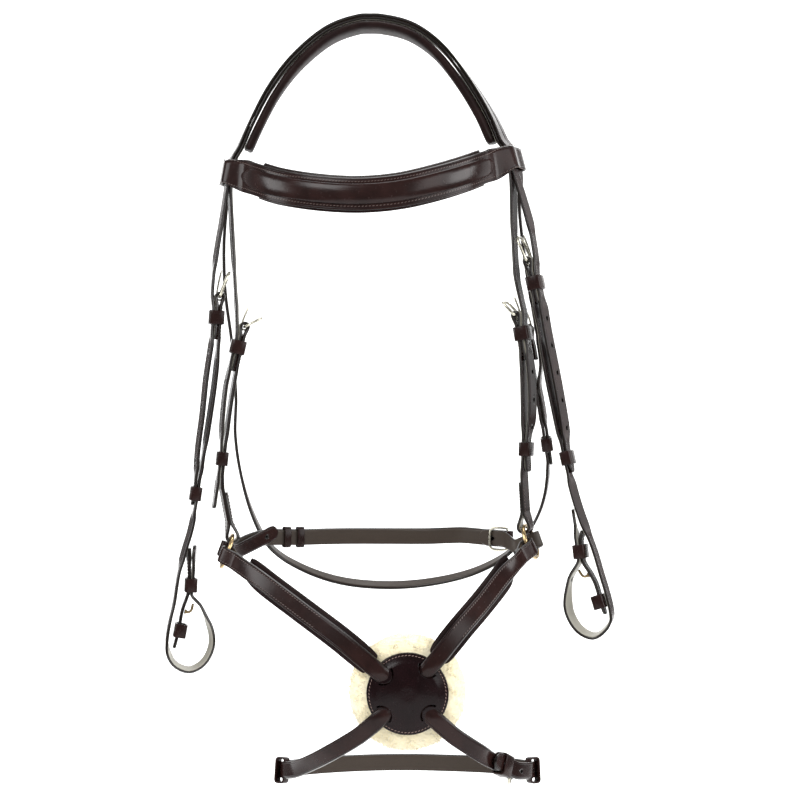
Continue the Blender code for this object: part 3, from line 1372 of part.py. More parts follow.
PLANS = (
    (LEFT, {
        "loop": LEFT_LOOP_PIXELS, "billet": LEFT_BILLET_PIXELS, "billet_low": LEFT_BILLET_LOW_PIXELS,
        "main": LEFT_MAIN_PIXELS, "tab": LEFT_TAB_PIXELS, "fixed": LEFT_FIXED_PIXEL,
        "runner": LEFT_RUNNER_PIXEL, "tail": LEFT_TAIL_PIXEL, "bit_pixel": LEFT_BIT_PIXEL,
        "tip": LEFT_TIP_PIXELS, "tip_pixel": LEFT_TIP_PIXEL, "stud_pixel": LEFT_STUD_PIXEL,
        "hook_pixel": LEFT_HOOK_PIXEL, "stud_share": LEFT_STUD_SHARE,
        "slip": LEFT_SLIP_PIXELS, "slip_low": LEFT_SLIP_LOW_PIXELS,
        "nose": LEFT_NOSE_PIXELS, "nose_fixed": LEFT_NOSE_FIXED_PIXEL, "nose_runner": LEFT_NOSE_RUNNER_PIXEL,
        "nose_tail": LEFT_NOSE_TAIL_PIXELS, "ring": LEFT_RING_PIXELS,
        "cheek_lean": LEFT_CHEEK_LEAN, "nose_lean": LEFT_NOSE_LEAN,
    }),
    (RIGHT, {
        "loop": RIGHT_LOOP_PIXELS, "billet": RIGHT_BILLET_PIXELS, "billet_low": RIGHT_BILLET_LOW_PIXELS,
        "main": RIGHT_MAIN_PIXELS, "tab": RIGHT_TAB_PIXELS, "fixed": RIGHT_FIXED_PIXEL,
        "runner": RIGHT_RUNNER_PIXEL, "tail": RIGHT_TAIL_PIXEL, "bit_pixel": RIGHT_BIT_PIXEL,
        "tip": RIGHT_TIP_PIXELS, "tip_pixel": RIGHT_TIP_PIXEL, "stud_pixel": RIGHT_STUD_PIXEL,
        "hook_pixel": RIGHT_HOOK_PIXEL, "stud_share": RIGHT_STUD_SHARE,
        "slip": RIGHT_SLIP_PIXELS, "slip_low": RIGHT_SLIP_LOW_PIXELS,
        "nose": RIGHT_NOSE_PIXELS, "nose_fixed": RIGHT_NOSE_FIXED_PIXEL,
        "nose_runner": RIGHT_NOSE_RUNNER_PIXEL, "nose_tail": RIGHT_NOSE_TAIL_PIXELS, "ring": RIGHT_RING_PIXELS,
        "cheek_lean": RIGHT_CHEEK_LEAN, "nose_lean": RIGHT_NOSE_LEAN,
    }),
)


def main():
    """Build the bridle in an empty scene."""
    for item in list(bpy.data.objects):
        bpy.data.objects.remove(item)
    arch = arch_stations(STRAP_THICK / 2)
    sides = [(side, plan, make_side(side, plan)) for side, plan in PLANS]
    make_headpiece(arch, sides)
    make_sliphead(sides)
    make_poll_pad()
    make_browband()
    rings = [made["ring"] for side, plan, made in sides]
    make_nose_straps(rings)
    make_jaw_straps(rings)


main()
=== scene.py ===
"""Looks of a hanging bridle with a figure eight noseband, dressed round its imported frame.

Each strap is laid along the corner lines of its own solid, so it lies where the frame says. Metres,
+Z up, the front of the head at -Y.
"""

import json
import math

import bmesh
import bpy
import numpy as np
from bpy.props import FloatProperty, FloatVectorProperty, IntProperty, PointerProperty
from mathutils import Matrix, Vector
from mathutils.bvhtree import BVHTree


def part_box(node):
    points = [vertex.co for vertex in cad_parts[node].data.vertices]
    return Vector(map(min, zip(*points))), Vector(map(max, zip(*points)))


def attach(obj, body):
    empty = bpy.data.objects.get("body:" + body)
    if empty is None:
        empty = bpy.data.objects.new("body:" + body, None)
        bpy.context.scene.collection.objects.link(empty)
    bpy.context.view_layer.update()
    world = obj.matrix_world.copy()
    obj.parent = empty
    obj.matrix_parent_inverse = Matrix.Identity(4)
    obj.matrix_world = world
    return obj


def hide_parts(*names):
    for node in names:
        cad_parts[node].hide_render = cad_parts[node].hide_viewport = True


bl_info = {
    "name": "Figure Eight Bridle",
    "version": (1, 0, 0),
    "blender": (4, 5, 0),
    "location": "View3D > Sidebar > Bridle",
    "description": "Leather, stitching, pads, fleece and fittings of a figure eight bridle",
    "category": "Object",
}

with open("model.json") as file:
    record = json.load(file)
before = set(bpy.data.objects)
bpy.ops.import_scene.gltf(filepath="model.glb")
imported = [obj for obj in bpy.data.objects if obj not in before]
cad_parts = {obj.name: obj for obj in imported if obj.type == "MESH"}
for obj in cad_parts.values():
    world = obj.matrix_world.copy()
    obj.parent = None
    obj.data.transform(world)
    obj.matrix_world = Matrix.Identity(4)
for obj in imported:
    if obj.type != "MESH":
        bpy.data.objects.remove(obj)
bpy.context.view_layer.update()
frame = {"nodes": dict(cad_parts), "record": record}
BODY_OF = {node: body for body, nodes in frame["record"]["behaviour"]["bodies"].items() for node in nodes}

# Straps: the end that a strap is followed from, its thickness, and its sewn stretches as distances
# from that end, or from the other end where they are negative
STRAP_THICK = 0.003
BAND_THICK = 0.0026
LINING_THICK = 0.002
HIGH, RIGHTWARD, LEFTWARD = (0, 0, 1), (1, 0, 0), (-1, 0, 0)
CHEEK_SEAMS = ((0.002, 0.03), (0.062, 0.09))
NOSE_SEAMS = ((0.002, 0.032), (0.064, 0.094), (-0.094, -0.064), (-0.032, -0.002))
ARM_SEAMS = ((0.002, 0.014), (0.036, 0.17))
TAB_SEAMS = ((0.002, 0.03),)
STRAPS = (
    ("cheekpiece_left", HIGH, STRAP_THICK, CHEEK_SEAMS),
    ("cheekpiece_right", HIGH, STRAP_THICK, CHEEK_SEAMS),
    ("noseband_cheek_left", HIGH, STRAP_THICK, NOSE_SEAMS),
    ("noseband_cheek_right", HIGH, STRAP_THICK, NOSE_SEAMS),
    ("sliphead", LEFTWARD, STRAP_THICK, ()),
    ("stud_tab_left", HIGH, STRAP_THICK, TAB_SEAMS),
    ("stud_tab_right", HIGH, STRAP_THICK, TAB_SEAMS),
    ("cross_strap_left", HIGH, STRAP_THICK, ARM_SEAMS),
    ("cross_strap_right", HIGH, STRAP_THICK, ARM_SEAMS),
    ("jaw_strap", LEFTWARD, STRAP_THICK, ()),
    ("jaw_billet", RIGHTWARD, STRAP_THICK, ()),
    ("browband", LEFTWARD, BAND_THICK, ()),
    ("browband_lining", LEFTWARD, LINING_THICK, ()),
)
# Straps that wear the pale finish: their flesh side carries a painted reflection, a light colour that stands
# for glare
PAINTED_GLARE_STRAPS = ("sliphead", "cheekpiece", "noseband_cheek")

# Reading a solid: its outline groups, walls, strap ends, folds and the place of the head
WELD_REACH = 2e-6
SHARP_ANGLE = math.radians(60)
OUTLINE_SHARE = 0.6
WALL_SLACK = 0.01
END_REACH = 12
WIDTH_ROWS = slice(3, 9)
FOLD_LIMIT = 1.15
FOLD_COST = 0.05
ARCH_LEAST = 4
RIM_REACH = 0.012
SLOT_SHARE = 0.2
HUB_DEPTH = -0.01
HUB_TOP = -0.12

# Laying a strap: how far it turns, where that begins, what holds it, and its section
SAMPLE_STEP = 0.0035
LEFT_LEAN, RIGHT_LEAN, LOW_LEAN = (math.radians(angle) for angle in (10, 14, 13))
LEFT_FROM, RIGHT_FROM, LOW_FROM = -0.11, 0.12, -0.5
LEAN_FADE = 0.04
HELD_BY = ("keeper", "runner", "buckle_frame", "ring_", "hook_stud", "stud_tab")
HELD_REACH, FREE_REACH = 0.014, 0.026
FACE_SHARES = (-0.7, -0.35, 0, 0.35, 0.7)
CORNER_TURNS = np.radians((0, 30, 60, 90))
MOST_ROUND = 0.85
SUPPORT = 0.0006
SAG_REACH, SLOT_SAG = 0.02, 0.0036

# Holes and slots punched through a strap, and its seams
HOLE_POINTS = 14
HOLE_DEPTH = 0.0045
HOLE_PAST = 0.001
HOLE_SIDES = 20
SLOT_GROWTH = 1.08
ODD_WAY = (0.3, 0.5, 0.8)
THREAD_ASKEW = math.radians(13)
THREAD_REACH = 0.4
THREAD_RADIUS = 0.00034
THREAD_SIDES = 6
THREAD_ALONG = np.array((-1, -0.6, 0.6, 1))
THREAD_SIZE = np.array((0.35, 1, 1, 0.35))
THREAD_DIP = np.array((-0.9, 0, 0, -0.9))
BAND_SEAM_START = 0.062
ROLL_SEAM = 0.0112

# Keepers, fittings, pads and the browband's roll
JOIN_ANGLES = (math.radians(25), math.radians(60))
FITTING_BEVEL = (3, math.radians(40))
SMOOTHINGS = 2
KEEPER_ROUND = 0.0005
RUNNER_TURN = math.radians(-32)
FITTINGS = (("buckle", "steel"), ("ring_", "brass"), ("hook_stud", "dull_brass"))
PADS = ("poll_pad", "arm_pad_left", "arm_pad_right")
ROLL_FRONT = -0.3
ROLL_REACH = (0.011, 0.002)
ROLL_TIP = 0.03
ROLL_LEAST = 0.0004
ROLL_HALF = 0.0095
ROLL_HEIGHT = 0.0032
ROLL_POWER, ROLL_FLAT, ROLL_UNDER = 0.8, 0.8, -0.15
ROLL_ROWS, ROLL_TURNS, ROLL_BASE = 90, 13, 5

# Nose disc
DISC_SIDES = 96
DISC_SEAM_SHARE = 0.935
DISC_SHARES = np.linspace(0.02, 1, 24)
DISC_BAND = 0.07
DISC_FRONT = -0.5
RIM_POINTS = 5
BACK_RIM, BACK_SHARES = np.array((1, 0.7)), np.array((1, 0.5, 0.02))
BACK_DROPS = np.array((0.6, 0.2, 0, 0, 0))
RAY_START = np.array((0, -0.05, 0))
DISC_BEVEL = (0.0005, 2, math.radians(50))
RIM_ROUND = 0.0012
LINING_ROUND = 0.0004
SLOT_TURN = math.radians(74)
SLOT_BOW = 0.0092
SLOT_SHIFT = 0.001
SLOT_GAP = 0.0016
SLOT_POINTS = 15
SLOT_DEPTH = 0.02

# Fleece: its cushion, the waves of its tufts, and its locks
SKIN_GRID = (64, 200)
SKIN_SLOPE = 1.5
SKIN_LIFT = 0.0046
SKIN_LUMP = 0.0004
SKIN_SHARE = 0.1
SKIN_WAVE, LOCK_WAVE = 1900, 620
PILLOW_POWER = 0.35
TUFT_WAVES = (((0.7, 0.3, 0.6), 0.4), ((-0.5, 0.8, 0.4), 1.9), ((0.4, -0.3, 0.9), 3.1))
LOCK_SEED = 8
LOCK_SIDE, LOCK_SIDE_SLOPE, LOCK_FACE_SLOPE = 0.62, 0.9, 0.75
LOCK_LENGTH = 0.0062
LOCK_LENGTHS = (0.7, 1.15)
LOCK_RADII = (0.0003, 0.0007)
LOCK_LEAN, LOCK_CHANCE, LOCK_UNEVEN = 0.3, 0.2, 0.22
LOCK_STEPS, LOCK_SIZES = np.array((0, 0.55, 1.0)), np.array((1.0, 0.9, 0.15))
CURL_TURN, CURL_START, CURL_SIZE = 2.4, 1.2, 0.22

# Finishes: masks as the values where they begin and end, noises as scale, detail and roughness, bumps
# as strength and distance
GRAIN_SCALE, SOFT_GRAIN_SCALE = 1.0, 0.8
CELL_SCALE, CELL_CREASE = 900, (0.1, 0.7)
PORES, FOLDS = (2600, 2, 0.6), (160, 4, 0.55)
CREASE_LIFT, PORE_LIFT, FOLD_LIFT = 0.35, 0.2, 0.9
MOTTLE, MOTTLE_RANGE = (38, 4, 0.6), (0.35, 0.68)
RUB, RUB_RANGE = (260, 5, 0.7), (0.5, 0.75)
FLESH_SIDE, RIM_SIDE, GRAIN_SIDE = (-0.45, -0.85), (0.97, 0.6), (0.8, 0.95)
CREASE_INSET, CREASE_WIDTH = 0.0021, (0.00045, 0.0001)
CREASE_DARK, CREASE_SHARE, CREASE_DEPTH = 0.35, 0.8, -3.0
MOTTLE_LIGHT = 1.7
FLESH_FLECKS, FLESH_DARK = (1500, 2, 0.7), 0.7
LEATHER_ROUGH, FLESH_ROUGH, EDGE_ROUGH, SOFT_ROUGH = (0.2, 0.32), 0.14, 0.08, 0.14
LEATHER_BUMP, SOFT_BUMP = (0.3, 0.00012), (0.4, 0.00016)
EDGE_COAT, COAT_ROUGH, LEATHER_GLOSS = 0.4, 0.2, 0.16
METAL_MARKS, MARK_RANGE, MARK_DARK = (900, 4, 0.6), (0.45, 0.75), 0.72
METAL_CLOUDS, CLOUD_RANGE, METAL_ROUGH = (420, 3, 0.6), (0.3, 0.7), 0.14
METAL_DENTS, METAL_BUMP = (650, 3, 0.5), (0.12, 0.0001)
THREAD_STRANDS, THREAD_DARK, THREAD_ROUGH, THREAD_BUMP = (2400, 2, 0.5), 0.5, 0.55, (0.4, 0.0001)
WOOL_ROOT, WOOL_DEPTH = (0.97, 0.93, 0.8), (0, 0.9)
WOOL_PATCHES, PATCH_RANGE, PATCH_COLOUR = (55, 4, 0.6), (0.45, 0.8, 0, 0.5), (0.95, 0.9, 0.76, 1)
WOOL_CURLS, WOOL_BUMP, WOOL_ROUGH = (1400, 3, 0.6), (0.4, 0.0004), 0.9
WOOL_SHEEN, SHEEN_ROUGH = 0.6, 0.5

# Stage: a sheet bent up behind the bridle, the lamps as place, size and power, and the camera
SHEET_FRONT, SHEET_BACK, SHEET_BEND = -2.0, 1.3, 0.6
SHEET_FLOOR, SHEET_TOP = -0.86, 1.7
SHEET_SIDES = (-0.72, 0.86)
BEND_POINTS = 17
PAPER_COLOUR, PAPER_ROUGH, PAPER_GLOW = (0.8, 0.8, 0.8, 1), 0.9, 0.6
WHITE = (1, 1, 1, 1)
WORLD_LIGHT = 0.3
LAMPS = (
    ("key", (-1.2, -1.8, 1.1), 1.2, 40.0),
    ("fill", (1.6, -1.5, 0.3), 1.4, 24.0),
    ("top", (0.2, 0.3, 1.5), 1.2, 30.0),
    ("right_strip", (1.45, 0.8, 0.0), 0.9, 3.0),
    ("left_side", (-1.9, -0.45, 0.1), 0.9, 20.0),
    ("right_side", (1.9, -0.45, 0.1), 0.9, 24.0),
)
TARGET = (0.0, 0.0, -0.35)
SENSOR = 36.0
VIEW_DISTANCE = 2.2
VIEW_SPAN = 0.75958
VIEW_CENTRE = (0.02829, -0.34904)


def colour(name, description, *default):
    """Setting of a colour."""
    return FloatVectorProperty(name=name, description=description, subtype="COLOR", size=4,
                               default=(*default, 1))


def length(name, description, default):
    """Setting of a length."""
    return FloatProperty(name=name, description=description, default=default, unit="LENGTH")


class BridleSettings(bpy.types.PropertyGroup):
    """Sizes and colours that a user would change."""

    grain_colour: colour("Grain", "Polished face of the leather", 0.0115, 0.0048, 0.0042)
    flesh_colour: colour("Flesh side", "Inner face of the leather", 0.052, 0.04, 0.032)
    # Painted reflection: this pale colour is not the leather's own; it lightens the flesh side of the cheek
    # straps and bit loops to stand for the glare of the light on them
    pale_colour: colour("Flesh side with painted glare", "Inner face of the cheek straps and bit loops", 0.42, 0.4, 0.34)
    edge_colour: colour("Edge", "Painted edge of the leather", 0.0075, 0.005, 0.004)
    lining_colour: colour("Lining", "Soft leather of the pads", 0.0085, 0.0042, 0.004)
    disc_colour: colour("Disc", "Dark polished leather of the nose disc", 0.0045, 0.0013, 0.0016)
    thread_colour: colour("Thread", "Waxed linen of the stitching", 0.1, 0.066, 0.056)
    fleece_colour: colour("Fleece", "Sheepskin behind the disc", 0.93, 0.87, 0.7)
    brass_colour: colour("Brass", "Rings and hook studs", 0.48, 0.35, 0.18)
    steel_colour: colour("Buckles", "Bright plating of the buckles", 0.5, 0.48, 0.4)
    edge_round: length("Edge rounding", "Radius of a strap's rubbed edges", 0.0009)
    stitch_pitch: length("Stitch pitch", "Distance from stitch to stitch", 0.0031)
    stitch_inset: length("Stitch inset", "Distance of a seam from the edge", 0.0024)
    fleece_locks: IntProperty(
        name="Locks", description="Number of wool locks on the fleece", default=9000, min=100)


def settings():
    """The bridle's settings in the open scene."""
    return bpy.context.scene.bridle


# Lines read from the frame's solids

def unit(rows):
    """Rows scaled to length one."""
    return rows / np.maximum(np.linalg.norm(rows, axis=-1, keepdims=True), 1e-12)


def eased(share):
    """Share between 0 and 1 that starts and stops gently: three squares of it less two cubes."""
    return share * share * (3 - 2 * share)


def nearest(points, places):
    """Distance from each point to the nearest of some places."""
    return np.linalg.norm(points[:, None] - places[None], axis=2).min(axis=1)


def circle(count):
    """Angles of a whole turn in even steps."""
    return np.arange(count) * math.tau / count


def spun(radii, depths, turns):
    """Points at radii and depths, turned round an axis that looks forward."""
    return np.stack((radii * np.cos(turns), depths, radii * np.sin(turns)), axis=-1)


def round_box(node):
    """Low and high corner, middle and radius of the box of a node that is round from the front."""
    low, high = (np.array(corner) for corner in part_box(node))
    return low, high, (low + high) / 2, (high[0] - low[0]) / 2


def held_places():
    """Middles of the fittings that hold a strap in line."""
    return np.array([round_box(node)[2] for node in frame["nodes"] if any(word in node for word in HELD_BY)])


def welded(node):
    """Mesh of a node's solid with its doubles merged, as an editable shape."""
    shape = bmesh.new()
    shape.from_mesh(frame["nodes"][node].data)
    bmesh.ops.remove_doubles(shape, verts=shape.verts, dist=WELD_REACH)
    shape.verts.index_update()
    shape.verts.ensure_lookup_table()
    return shape


def sharp_pairs(shape):
    """Numbers of the two points of each sharp edge."""
    return [(edge.verts[0].index, edge.verts[1].index) for edge in shape.edges
            if edge.calc_face_angle(0) > SHARP_ANGLE]


def linked_groups(pairs):
    """Groups of numbers that pairs link together, largest first, and the numbers beside each."""
    beside = {}
    for a, b in pairs:
        beside.setdefault(a, []).append(b)
        beside.setdefault(b, []).append(a)
    groups, done = [], set()
    for start in beside:
        if start in done:
            continue
        done.add(start)
        group, waiting = [], [start]
        while waiting:
            item = waiting.pop()
            group.append(item)
            fresh = [other for other in beside[item] if other not in done]
            done.update(fresh)
            waiting += fresh
        groups.append(group)
    return sorted(groups, key=len, reverse=True), beside


def disc_slots():
    """Middles of the slots in the nose disc's solid."""
    shape = welded("nose_disc")
    pairs, spots = sharp_pairs(shape), np.array([vert.co for vert in shape.verts])
    shape.free()
    _, _, centre, radius = round_box("nose_disc")
    middles = []
    for group in linked_groups(pairs)[0]:
        spot = spots[group].mean(axis=0)
        if np.hypot(*(spot - centre)[[0, 2]]) > radius * SLOT_SHARE:
            if all(np.linalg.norm(spot - other) > radius * SLOT_SHARE for other in middles):
                middles.append(spot)
    return np.array(middles)


HOLDS = held_places()
DISC_SLOTS = disc_slots()


def without_folds(rails, spots):
    """Sharp lines less those that run across a strap where it folds: they join two busy corners."""
    degree = {}
    for pair in rails:
        for index in pair:
            degree[index] = degree.get(index, 0) + 1
    kept = []
    for a, b in sorted(rails, key=lambda pair: -np.linalg.norm(spots[pair[0]] - spots[pair[1]])):
        if degree[a] > 2 and degree[b] > 2:
            degree[a] -= 1
            degree[b] -= 1
        else:
            kept.append((a, b))
    return kept


def read_solid(node, thick):
    """Outline loop of a strap's upper face with the point below each, and the rims of its cuts."""
    shape = welded(node)
    spots, pairs = np.array([vert.co for vert in shape.verts]), sharp_pairs(shape)
    groups, _ = linked_groups(pairs)
    outline = {index for group in groups if len(group) > OUTLINE_SHARE * len(groups[0]) for index in group}
    rims = [spots[group] for group in groups if group[0] not in outline]
    walls = [(edge.verts[0].index, edge.verts[1].index) for edge in shape.edges
             if abs(edge.calc_length() - thick) < thick * WALL_SLACK]
    shape.free()
    sharp = {frozenset(pair) for pair in pairs}
    walls = [pair for pair in walls if pair[0] in outline and pair[1] in outline]
    below = {}
    for a, b in sorted(walls, key=lambda pair: frozenset(pair) in sharp):
        if a not in below and b not in below:
            below[a], below[b] = b, a
    rails = [pair for pair in pairs if below.get(pair[0]) != pair[1] and pair[0] in outline]
    loops, beside = linked_groups(without_folds(rails, spots))
    loop = next(loop for loop in reversed(loops) if all(index in below for index in loop))
    ordered, previous = [loop[0]], None
    while len(ordered) < len(loop):
        onward = [index for index in beside[ordered[-1]] if index != previous and index not in ordered[:1]]
        previous = ordered[-1]
        ordered.append(onward[0] if onward else beside[previous][0])
    return spots[ordered], spots[[below[index] for index in ordered]], rims


def ends_of(upper, faces, count):
    """Places in the outline loop where it turns back round a strap's end.

    There the rails run side by side with their faces alike; at a fold of one rail they are opposite.
    """
    total = len(upper)
    index = np.arange(total)
    steps = np.arange(min(END_REACH, total // 2 - 1))
    before, after = (index[:, None] - steps) % total, (index[:, None] + 1 + steps) % total
    spread = np.linalg.norm(upper[before] - upper[after], axis=2)
    spread = (spread + FOLD_COST * (1 - np.sum(faces[before] * faces[after], axis=2))).sum(axis=1)
    found = []
    for best in np.argsort(spread):
        if all(min((best - other) % total, (other - best) % total) > END_REACH for other in found):
            found.append(int(best))
        if len(found) == count:
            return found
    raise ValueError("the strap has fewer ends than asked for")


def leg_from(upper, end, most=None):
    """Indices of the two rails that leave an end, all of them or while they stay a width apart."""
    total = len(upper)
    steps = np.arange(most or total // 2)
    left, right = (end - steps) % total, (end + 1 + steps) % total
    if not most:
        return left, right
    apart = np.linalg.norm(upper[left] - upper[right], axis=1)
    wide = apart > FOLD_LIMIT * np.median(apart[WIDTH_ROWS])
    last = int(np.argmax(wide)) if wide.any() else len(steps)
    return left[:last], right[:last]


class Strap:
    """A strap's two edge lines at mid thickness, the direction of its face and its thickness."""

    def __init__(self, left, right, up, thick):
        self.left, self.right, self.up, self.thick = left, right, up, thick
        self.centre = (left + right) / 2
        self.runs = np.linalg.norm(np.diff(self.centre, axis=0), axis=1)
        self.lengths = np.concatenate(((0.0,), np.cumsum(self.runs)))

    def swapped(self):
        """The same strap with its rails in each other's place."""
        return Strap(self.right, self.left, self.up, self.thick)

    def reversed(self):
        """The same strap followed from its other end, with the same face up."""
        return Strap(self.right[::-1], self.left[::-1], self.up[::-1], self.thick)

    def joined(self, other):
        """This strap followed by another, without the station that they share."""
        pairs = ((self.left, other.left), (self.right, other.right), (self.up, other.up))
        return Strap(*(np.vstack((first, second[1:])) for first, second in pairs), self.thick)

    def outward(self):
        """The same strap with its grain face away from the head and its rails on their own sides."""
        runs = np.gradient(self.centre, axis=0)
        hub = self.centre * (0, 0, 1) + (0, HUB_DEPTH, 0)
        hub[:, 2] = np.minimum(hub[:, 2], HUB_TOP)
        away = np.sum(unit(self.centre - hub) * self.up, axis=1) * np.linalg.norm(runs, axis=1)
        strap = self if away.sum() > 0 else Strap(self.right, self.left, -self.up, self.thick)
        return strap.swapped() if np.sum(runs * np.cross(strap.up, strap.right - strap.left)) < 0 else strap

    def turned(self):
        """The same strap turned a little: grain face forward on both sides, and pale side up below.

        Each station turns about its middle by the lean times how far the strap faces sideways, less
        where a fitting holds it.
        """
        middle, half, across, face = self.frames()
        free = np.clip((nearest(middle, HOLDS) - HELD_REACH) / (FREE_REACH - HELD_REACH), 0, 1)
        left = np.clip((LEFT_FROM - middle[:, 0]) / LEAN_FADE, 0, 1)
        right = np.clip((middle[:, 0] - RIGHT_FROM) / LEAN_FADE, 0, 1)
        low = np.clip((LOW_FROM - middle[:, 2]) / LEAN_FADE, 0, 1)
        lean = (LEFT_LEAN * left + RIGHT_LEAN * right) * (1 - low) - LOW_LEAN * low
        turn = (lean * eased(free) * across[:, 1])[:, None]
        span = (across * np.cos(turn) + face * np.sin(turn)) * half[:, None]
        return Strap(middle - span, middle + span, face * np.cos(turn) - across * np.sin(turn), self.thick)

    def resampled(self):
        """Finer stations on a centripetal curve through the given ones."""
        rows = np.hstack((self.left, self.right, self.up))
        counts = np.maximum(2, np.round(self.runs / SAMPLE_STEP)).astype(int)
        knots = np.concatenate(((0,), np.cumsum(counts)))
        where = np.interp(np.arange(knots[-1] + 1), knots, np.arange(len(rows)))
        fine = curve_through(rows, self.centre, where)
        return Strap(fine[:, :3], fine[:, 3:6], unit(fine[:, 6:]), self.thick)

    def frames(self):
        """Middle, half width, across and face direction of each station, square to each other."""
        span = self.right - self.left
        width = np.linalg.norm(span, axis=1)
        across = span / width[:, None]
        face = unit(self.up - across * np.sum(self.up * across, axis=1)[:, None])
        return self.centre, width / 2, across, face

    def at(self, distances):
        """Middle, half width, across, face and run directions at distances along the strap."""
        middle, half, across, face = self.frames()
        middle, across, face = (np.stack([np.interp(distances, self.lengths, part[:, axis])
                                          for axis in range(3)], axis=1) for part in (middle, across, face))
        across, face = unit(across), unit(face)
        return middle, np.interp(distances, self.lengths, half), across, face, np.cross(face, across)


def curve_through(rows, places, where):
    """Centripetal curve through rows, at station numbers with fractions.

    Each stretch blends straight lines between four neighbouring rows, in three rounds, over knots
    that are apart by the square root of the distance between their places.
    """
    padded, spots = (np.vstack((2 * part[0] - part[1], part, 2 * part[-1] - part[-2]))
                     for part in (rows, places))
    gaps = np.sqrt(np.maximum(np.linalg.norm(np.diff(spots, axis=0), axis=1), 1e-9))
    knots = np.concatenate(((0.0,), np.cumsum(gaps)))
    low = np.clip(where.astype(int), 0, len(rows) - 2)
    t = (knots[low + 1] + (where - low) * gaps[low + 1])[:, None]
    level = [padded[low + index] for index in range(4)]
    for width in (1, 2, 3):
        fresh = []
        for index in range(4 - width):
            first, last = (index, index + width) if width < 3 else (1, 2)
            start, stop = knots[low + first][:, None], knots[low + last][:, None]
            share = (t - start) / (stop - start)
            fresh.append(level[index] * (1 - share) + level[index + 1] * share)
        level = fresh
    return level[0]


def read_strap(node, start, thick):
    """A plain strap of the frame, followed from the end that lies furthest in a direction."""
    upper, lower, rims = read_solid(node, thick)
    middle, faces = (upper + lower) / 2, unit(upper - lower)
    left, right = leg_from(upper, ends_of(upper, faces, 1)[0])
    strap = Strap(middle[left], middle[right], unit((upper - lower)[left] + (upper - lower)[right]), thick)
    if (strap.centre[0] - strap.centre[-1]) @ np.array(start, float) < 0:
        strap = strap.reversed()
    return strap.outward(), rims


def read_headpiece():
    """The headpiece's front and back straps, which are one piece over the poll."""
    upper, lower, rims = read_solid("headpiece", STRAP_THICK)
    middle, faces = (upper + lower) / 2, unit(upper - lower)
    total = len(upper)
    legs, roots = {}, {}
    for end in ends_of(upper, faces, 4):
        left, right = leg_from(upper, end, total // 3)
        legs[end] = Strap(middle[left], middle[right], unit(faces[left] + faces[right]), STRAP_THICK)
        roots[end] = (int(left[-1]), int(right[-1]))
    order = sorted(legs)
    joined = []
    for first, second in zip(order, order[1:] + order[:1]):
        start, stop = roots[first][1], roots[second][0]
        count = (stop - start) % total
        if count > ARCH_LEAST:
            joined.append((first, second, (start + np.arange(count + 1)) % total))
    (a, b, front), (c, d, back) = joined
    back = back[::-1]
    if len(front) < len(back):
        back = paired(middle[front], middle[back], back)
    else:
        front = paired(middle[back], middle[front], front)
    across = unit(middle[back] - middle[front])
    up = unit(faces[front] + faces[back])
    straps = []
    for first, second, rail, sign in ((a, b, front, 1), (d, c, back, -1)):
        width = np.linalg.norm(legs[first].left[-1] - legs[first].right[-1])
        arch = Strap(middle[rail], middle[rail] + across * (sign * width), up, STRAP_THICK)
        head = aligned(legs[first], arch.left[0], -1)
        tail = aligned(legs[second].reversed(), arch.left[-1], 0)
        straps.append(head.joined(arch).joined(tail).outward())
    return straps, rims


def paired(short, long, indices):
    """The stretch of a longer rail that lies best beside a shorter one."""
    count, spare = len(short), len(long) - len(short)
    apart = [np.linalg.norm(long[start:start + count] - short, axis=1).sum() for start in range(spare + 1)]
    start = int(np.argmin(apart))
    return indices[start:start + count]


def aligned(leg, root, end):
    """A leg whose left rail is the one that meets a point at one of its ends."""
    far = np.linalg.norm(leg.left[end] - root) > np.linalg.norm(leg.right[end] - root)
    return leg.swapped() if far else leg


# Meshes

def new_object(name, data):
    """Object in the scene, with its data."""
    made = bpy.data.objects.new(name, data)
    bpy.context.scene.collection.objects.link(made)
    return made


def object_of(name, label, shape):
    """Object whose mesh is taken from an editable shape."""
    mesh = bpy.data.meshes.new(label)
    shape.to_mesh(mesh)
    shape.free()
    return new_object(name, mesh)


def smooth(mesh):
    """Shade a mesh's faces smoothly."""
    mesh.polygons.foreach_set("use_smooth", np.ones(len(mesh.polygons), bool))


def dress(made, kind, body):
    """Give a piece its finish and its body."""
    made.data.materials.clear()
    made.data.materials.append(finish(kind))
    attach(made, body)
    return made


def add_piece(name, verts, faces, kind, body, uv=None, values=None):
    """Smooth mesh object of a piece, with its finish, its body and its attributes."""
    mesh = bpy.data.meshes.new(name)
    mesh.from_pydata(verts.tolist(), [], faces if isinstance(faces, list) else faces.tolist())
    mesh.update()
    smooth(mesh)
    if uv is not None:
        corners = np.zeros(len(mesh.loops), int)
        mesh.loops.foreach_get("vertex_index", corners)
        mesh.uv_layers.new(name="UVMap").data.foreach_set("uv", uv[corners].ravel())
    for label, data in (values or {}).items():
        made = mesh.attributes.new(label, "FLOAT", "POINT")
        made.data.foreach_set("value", np.asarray(data, np.float32))
    return dress(new_object(name, mesh), kind, body)


def grid_faces(rows, columns, closed=False):
    """Quads of a grid of points, whose columns may run round to the first."""
    across = np.arange(columns if closed else columns - 1)
    row, column = np.meshgrid(np.arange(rows - 1), across, indexing="ij")
    a, b = row * columns + column, row * columns + (column + 1) % columns
    return np.stack((a, b, b + columns, a + columns), axis=-1).reshape(-1, 4)


def capped_faces(rows, columns):
    """Faces of a closed tube of rows, with a face on each end."""
    faces = grid_faces(rows, columns, closed=True).tolist()
    faces.append(list(range(columns))[::-1])
    faces.append(list(range((rows - 1) * columns, rows * columns)))
    return faces


